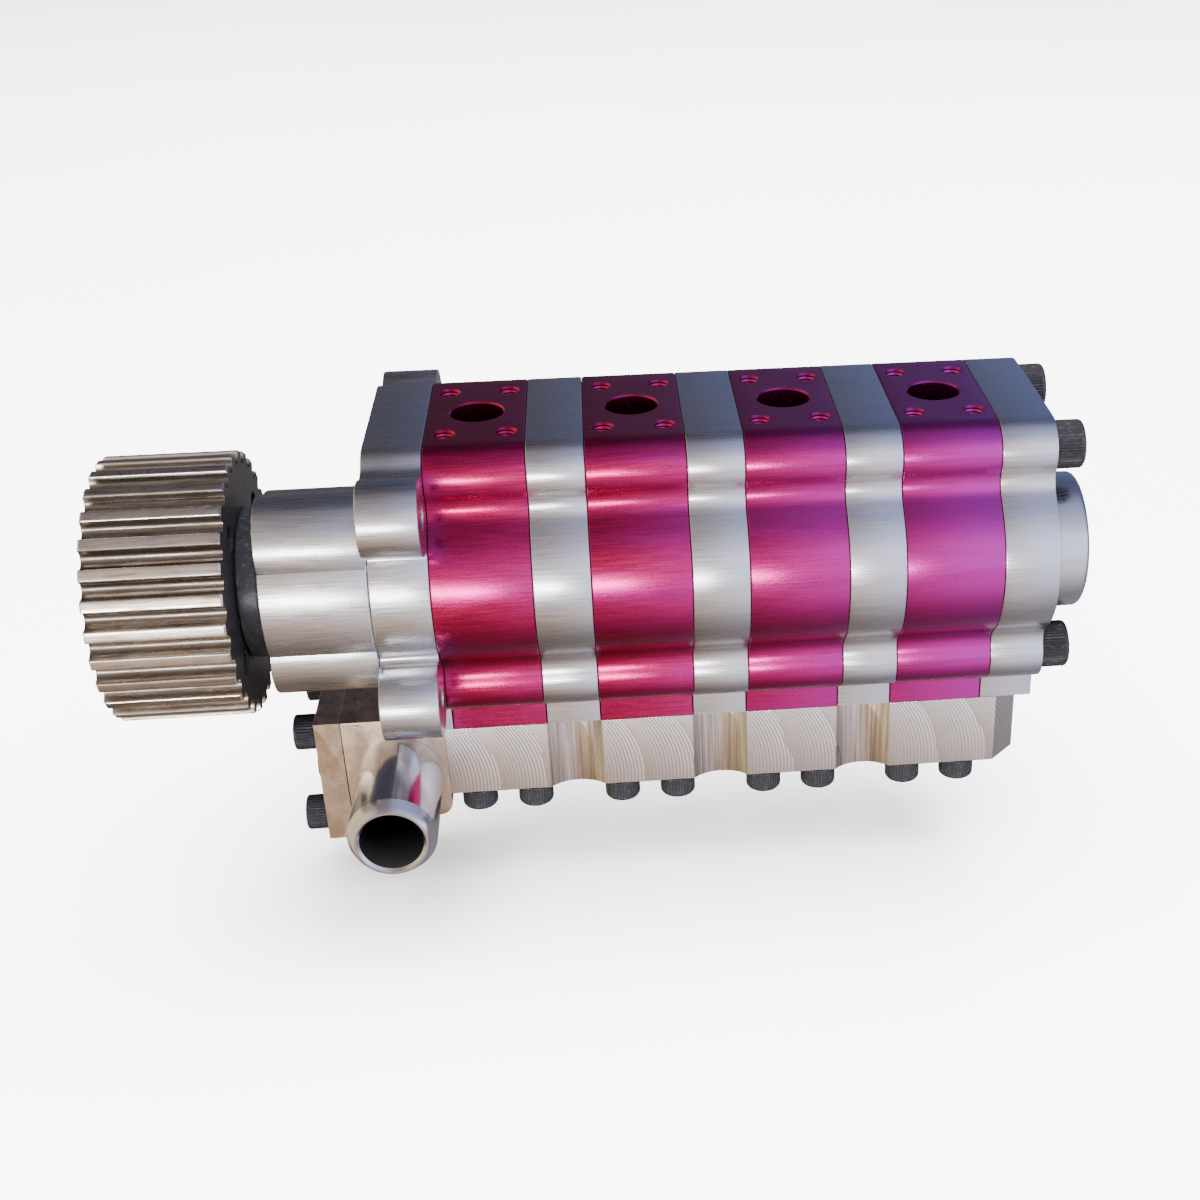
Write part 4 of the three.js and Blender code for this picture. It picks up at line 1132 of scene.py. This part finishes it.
class PUMP_OT_screws(bpy.types.Operator):
    """Socket-head screws: long bolts, manifold, end plate, nose and pulley screws"""

    bl_idname = "pump.screws"
    bl_label = "Screws"
    bl_options = {"REGISTER", "UNDO"}

    def execute(self, context):
        self.row("through_bolt_{}", 4, "x", -1, M8)
        self.row("manifold_screw_{:02d}", 16, "z", 1, M6)
        self.row("plate_screw_{}", 4, "x", 1, M6)
        self.row("nose_screw_{}", 3, "x", 1, M6)
        skin = Skin()
        low, high = edges_of("pulley_bolt", 0)
        screw_mesh(skin, (0, 0), low, high, "x", **M8)
        skin.piece("bolt_of_pulley", ["oxide"], DRIVE, "black_oxide_steel", "pulley_bolt")
        return {"FINISHED"}

    def row(self, pattern, count, axis, way, size):
        """Like screws, one for each node. Heads are at the axis's low end (way 1) or its high end (-1)."""
        along = "xyz".index(axis)
        for i in range(1, count + 1):
            node = pattern.format(i)
            low, high = edges_of(node, along)
            start, end = (low, high) if way > 0 else (high, low)
            first, second = [(along + k) % 3 for k in (1, 2)]
            centre = (middle_of(node, first), middle_of(node, second))
            skin = Skin()
            screw_mesh(skin, centre, start, end, axis, **size)
            name = node.replace("bolt", "m8").replace("screw", "m6")
            skin.piece(name, ["oxide"], HOUSING, "black_oxide_steel", node)


def rail_outline(size, low, high, near, far, centres):
    """Plan of the rail in (x, y): two long sides with round reliefs, and chamfered corners at the rear.

    A relief's arc reaches acos((radius - depth) / radius) to either side of its middle.
    """
    radius, depth = size.scallop, size.scallop_depth
    reach = math.acos((radius - depth) / radius)
    side = [[low, near]]
    for x in centres:
        y = near + depth - radius
        side += arc((x, y), radius, math.pi / 2 + reach, math.pi / 2 - reach, 0.05).tolist()
    side += [[high - size.tail, near], [high, near + size.tail]]
    side = np.array(side)
    other = side[::-1] * [1, -1] + [0, near + far]
    return np.concatenate([side, other])


class PUMP_OT_manifold(bpy.types.Operator):
    """Discharge manifold: a scalloped rail and the deeper collector at its drive end"""

    bl_idname = "pump.manifold"
    bl_label = "Discharge manifold"
    bl_options = {"REGISTER", "UNDO"}

    def execute(self, context):
        size = context.scene.pump_manifold
        x_low, x_high = edges_of("discharge_manifold", 0)
        near, far = edges_of("manifold_end_plate", 1)
        bottom, crest = edges_of("discharge_manifold", 2)
        top = edges_of("end_cover", 2)[0] - GAP
        floor = edges_of("manifold_screw_01", 2)[0] + M6["height"] + GAP
        rear = size.rear
        skin = Skin()
        centres = [middle_of(f"separator_{i}", 0) for i in (1, 2, 3)]
        slab(skin, rail_outline(size, rear, x_high, near, far, centres), floor, top, size.edge, "z")
        # The collector's outline in (z, x), from the front round its stepped underside to the rear.
        lower = bottom + size.step
        centre = (rear - size.corner, lower + size.corner)
        cover = -0.3 * MM  # just short of the front cover's face
        side = [[x_low, crest], [x_low, bottom], [size.step_start, bottom], [size.step_end, lower]]
        side += arc(centre, size.corner, -math.pi / 2, 0).tolist()
        side += [[rear, top], [cover, top], [cover, crest]]
        side = np.array(side)[:, ::-1][::-1]
        rows = swept(skin, side, rounded(near, far, size.edge), "y")
        socket = (middle_of("outlet_tube", 2), middle_of("outlet_tube", 0))
        mouth = circle(socket, size.socket, 64)
        skin.flat_face(rows[0], [mouth], near, "y")
        skin.flat_face(rows[-1], [], far, "y")
        wall = [(size.socket, near), (size.socket, far - size.socket_wall)]
        # Painted shade: the socket's wall takes the dark bore finish.
        blind_hole(skin, socket, wall, "y", 64, slot=1)
        finishes = ["milled", "bored"]
        skin.piece("manifold_block", finishes, HOUSING, "milled_aluminium", "discharge_manifold")
        low, high = edges_of("manifold_end_plate", 0)
        z_low, z_high = edges_of("manifold_end_plate", 2)
        plate = np.array([[near, z_low], [far, z_low], [far, z_high], [near, z_high]])
        skin = Skin()
        slab(skin, plate, low, high, size.edge, "x")
        skin.piece("manifold_plate", ["milled"], HOUSING, "milled_aluminium", "manifold_end_plate")
        return {"FINISHED"}


class PUMP_OT_outlet_tube(bpy.types.Operator):
    """Outlet tube, turned, with its long chamfer and bright lip"""

    bl_idname = "pump.outlet_tube"
    bl_label = "Outlet tube"
    bl_options = {"REGISTER", "UNDO"}

    def execute(self, context):
        size = context.scene.pump_manifold
        low, high = edges_of("outlet_tube", 1)
        shoulder = edges_of("manifold_end_plate", 1)[0] - GAP
        centre = (middle_of("outlet_tube", 2), middle_of("outlet_tube", 0))
        outer, bore, lip, spigot = size.outer, size.bore, size.lip, size.spigot
        edge = 0.15 * MM
        bulge = 1.15  # power that rounds the long chamfer a little
        face = outer - size.taper_depth
        profile = [(bore, low + lip), (bore + lip, low), (face - edge, low), (face, low + edge)]
        for share in (0.25, 0.5, 0.75):
            profile.append((face + (outer - face) * share, low + size.taper * share**bulge))
        profile += [(outer, low + size.taper), (outer, shoulder), (spigot, shoulder), (spigot, high)]
        profile += [(bore, high)]
        skin = Skin()
        turned(skin, centre, profile, "y", 96)
        # Painted shade: the tube's bore takes the dark bore finish.
        turned(skin, centre, [(bore, high), (bore, low + lip)], "y", 96, slot=1)
        finishes = ["turned", "bored"]
        skin.piece("hose_tube", finishes, HOUSING, "turned_aluminium", "outlet_tube", smooth=24)
        return {"FINISHED"}


class PUMP_OT_rotors(bpy.types.Operator):
    """Finishes of the shafts, gears, bearings and seal, which keep their own shapes"""

    bl_idname = "pump.rotors"
    bl_label = "Shafts, gears and bearings"
    bl_options = {"REGISTER", "UNDO"}

    def execute(self, context):
        names = ["drive_shaft", "idler_shaft", "front_bearing", "rear_bearing"]
        names += [f"{kind}_gear_{i}" for kind in ("drive", "idler") for i in range(1, 5)]
        for name in names:
            self.finish(name, "steel")
        self.finish("shaft_seal", "rubber")
        return {"FINISHED"}

    def finish(self, name, finish):
        """Gives a node's own mesh a finish."""
        mesh = frame["nodes"][name].data
        mesh.materials.clear()
        mesh.materials.append(material(finish))


class PUMP_OT_stage(bpy.types.Operator):
    """Pale floor, soft studio light and the camera"""

    bl_idname = "pump.stage"
    bl_label = "Stage, lights and camera"
    bl_options = {"REGISTER", "UNDO"}

    def execute(self, context):
        scene = context.scene
        self.floor()
        self.camera(scene)
        self.world(scene)
        for light in self.LIGHTS:
            self.light(scene, *light)
        return {"FINISHED"}

    def floor(self):
        """A square, below the pump, that the metals don't mirror."""
        level = CAD_BOX[0].z - 25 * MM
        half = 4.0
        square = half * np.array([[-1, -1], [1, -1], [1, 1], [-1, 1]])
        mesh = bpy.data.meshes.new("floor")
        mesh.from_pydata(place(square, level, "z"), [], [(0, 1, 2, 3)])
        mesh.materials.append(material("floor"))
        made = bpy.data.objects.new("floor", mesh)
        bpy.context.scene.collection.objects.link(made)
        made.visible_glossy = False

    def camera(self, scene):
        """The camera, from its place and from the directions to its right and straight ahead."""
        data = bpy.data.cameras.new("camera")
        data.lens = 51.965
        data.sensor_width = 36
        data.shift_x = -0.12645
        data.shift_y = 0.01729
        data.clip_start = 0.01
        made = bpy.data.objects.new("camera", data)
        right = Vector((0.995276, -0.096329, -0.012103))
        ahead = Vector((0.079067, 0.876576, -0.474725))
        up = right.cross(ahead)
        turn = Matrix((right, up, -ahead)).transposed().to_4x4()
        made.matrix_world = Matrix.Translation((0.06158, -0.42089, 0.20762)) @ turn
        scene.collection.objects.link(made)
        scene.camera = made

    def light(self, scene, name, where, size, power, mirrored):
        """A rectangular light, turned to the pump.

        A mirrored one is met by glossy rays and not by diffuse ones, and the others the other way round.
        """
        data = bpy.data.lights.new(name, "AREA")
        data.shape = "RECTANGLE"
        data.size, data.size_y = size
        data.energy = power
        made = bpy.data.objects.new(name, data)
        aim = Vector((0.06, 0.01, -0.02))
        made.location = where
        made.visible_glossy = mirrored
        made.visible_diffuse = not mirrored
        made.rotation_euler = (aim - Vector(where)).to_track_quat("-Z", "Y").to_euler()
        scene.collection.objects.link(made)

    def world(self, scene):
        """What the metals mirror: bands of light and shade by height, as soft boxes and dark flags give.

        A direction's height is the angle atan2(z, -y), from -180 behind, through 0 in front, to 180 degrees.
        The bands are warmer and dimmer towards the pulley's end, and cooler and brighter towards the rear.
        Everything but a mirrored ray meets an even, pale room.
        """
        world = bpy.data.worlds.new("studio")
        world.use_nodes = True
        tree = world.node_tree
        tree.nodes.clear()
        way = add(tree, "ShaderNodeTexCoord").outputs["Generated"]
        parts = add(tree, "ShaderNodeSeparateXYZ", {0: way}).outputs
        front = maths(tree, "MULTIPLY", parts["Y"], -1.0)
        height = maths(tree, "ARCTAN2", parts["Z"], front)
        ramp = add(tree, "ShaderNodeValToRGB", {0: spread(tree, height, -math.pi, math.pi)})
        stops = ramp.color_ramp.elements
        for degrees, code in self.BANDS:
            at = (degrees + 180) / 360
            stop = stops.new(at) if degrees > -180 else stops[0]
            stop.position = at
            stop.color = linear(code)
        stops.remove(stops[-1])
        front_x, rear_x = -0.15, 0.3  # where the bands begin and end to change
        side = spread(tree, parts["X"], front_x, rear_x)
        tint = blend(tree, side, linear("#FFECDC"), linear("#E0E6FF"))
        shown = add(tree, "ShaderNodeMix", data_type="RGBA", blend_type="MULTIPLY")
        shown.inputs[0].default_value = 1.0
        tree.links.new(ramp.outputs[0], shown.inputs[6])
        tree.links.new(tint, shown.inputs[7])
        warm = spread(tree, parts["X"], -0.45, -0.8)
        tone = blend(tree, warm, shown.outputs[2], linear("#FFEFC4"))
        power = spread(tree, parts["X"], front_x, rear_x, 1.25, 2.7)
        bands = add(tree, "ShaderNodeBackground", {"Color": tone, "Strength": power})
        room = add(tree, "ShaderNodeBackground", {"Color": linear("#FFFFFF"), "Strength": 1.0})
        mirrored = add(tree, "ShaderNodeLightPath").outputs["Is Glossy Ray"]
        mix = add(tree, "ShaderNodeMixShader", {0: mirrored, 1: room.outputs[0], 2: bands.outputs[0]})
        add(tree, "ShaderNodeOutputWorld", {"Surface": mix.outputs[0]})
        scene.world = world

    # name, place, size, watts, and whether only mirrored rays meet it
    LIGHTS = [
        ("overhead", (0.2, -0.4, 2.2), (3.0, 3.0), 700, False),
        ("key", (-0.25, -0.9, 0.85), (0.7, 0.45), 10, False),
        ("strip", (-0.36, -1.3, -0.03), (0.72, 0.1), 13, True),
        ("rim", (0.6, 0.7, 1.0), (0.6, 0.4), 8, False),
    ]

    # height in degrees, and colour
    BANDS = [
        (-180, "#5A5650"),
        (-110, "#7A7470"),
        (-85, "#6E6660"),
        (-60, "#9A9088"),
        (-45, "#C0B4AA"),
        (-25, "#E6DCD6"),
        (-14, "#CEC8C4"),
        (-4, "#FFFFFF"),
        (8, "#EDEBEA"),
        (25, "#F6F6F8"),
        (42, "#C6C8D2"),
        (60, "#A2A4B4"),
        (85, "#8E90A0"),
        (110, "#4E505E"),
        (140, "#434758"),
        (165, "#50566C"),
    ]


OPERATORS = [
    PUMP_OT_stage,
    PUMP_OT_front_cover,
    PUMP_OT_sections,
    PUMP_OT_separators,
    PUMP_OT_end_cover,
    PUMP_OT_nose,
    PUMP_OT_pulley,
    PUMP_OT_hub,
    PUMP_OT_manifold,
    PUMP_OT_outlet_tube,
    PUMP_OT_screws,
    PUMP_OT_rotors,
]


class PUMP_PT_panel(bpy.types.Panel):
    """The pieces' operators, and the sizes and colours that they read"""

    bl_label = "Staged gear pump"
    bl_idname = "PUMP_PT_panel"
    bl_space_type = "VIEW_3D"
    bl_region_type = "UI"
    bl_category = "Pump"

    def draw(self, context):
        for operator in OPERATORS:
            self.layout.operator(operator.bl_idname)
        for name, group in GROUPS.items():
            box = self.layout.box()
            for key in group.__annotations__:
                box.prop(getattr(context.scene, name), key)


CLASSES = [*GROUPS.values(), *OPERATORS, PUMP_PT_panel]


def register():
    """Makes the classes known, and hangs the groups of sizes and colours on the scene."""
    for cls in CLASSES:
        bpy.utils.register_class(cls)
    for name, group in GROUPS.items():
        setattr(bpy.types.Scene, name, bpy.props.PointerProperty(type=group))


def unregister():
    """Takes back what register did."""
    for name in GROUPS:
        delattr(bpy.types.Scene, name)
    for cls in reversed(CLASSES):
        bpy.utils.unregister_class(cls)


def main():
    register()
    for operator in OPERATORS:
        group, name = operator.bl_idname.split(".")
        getattr(getattr(bpy.ops, group), name)()


if __name__ == "__main__":
    main()
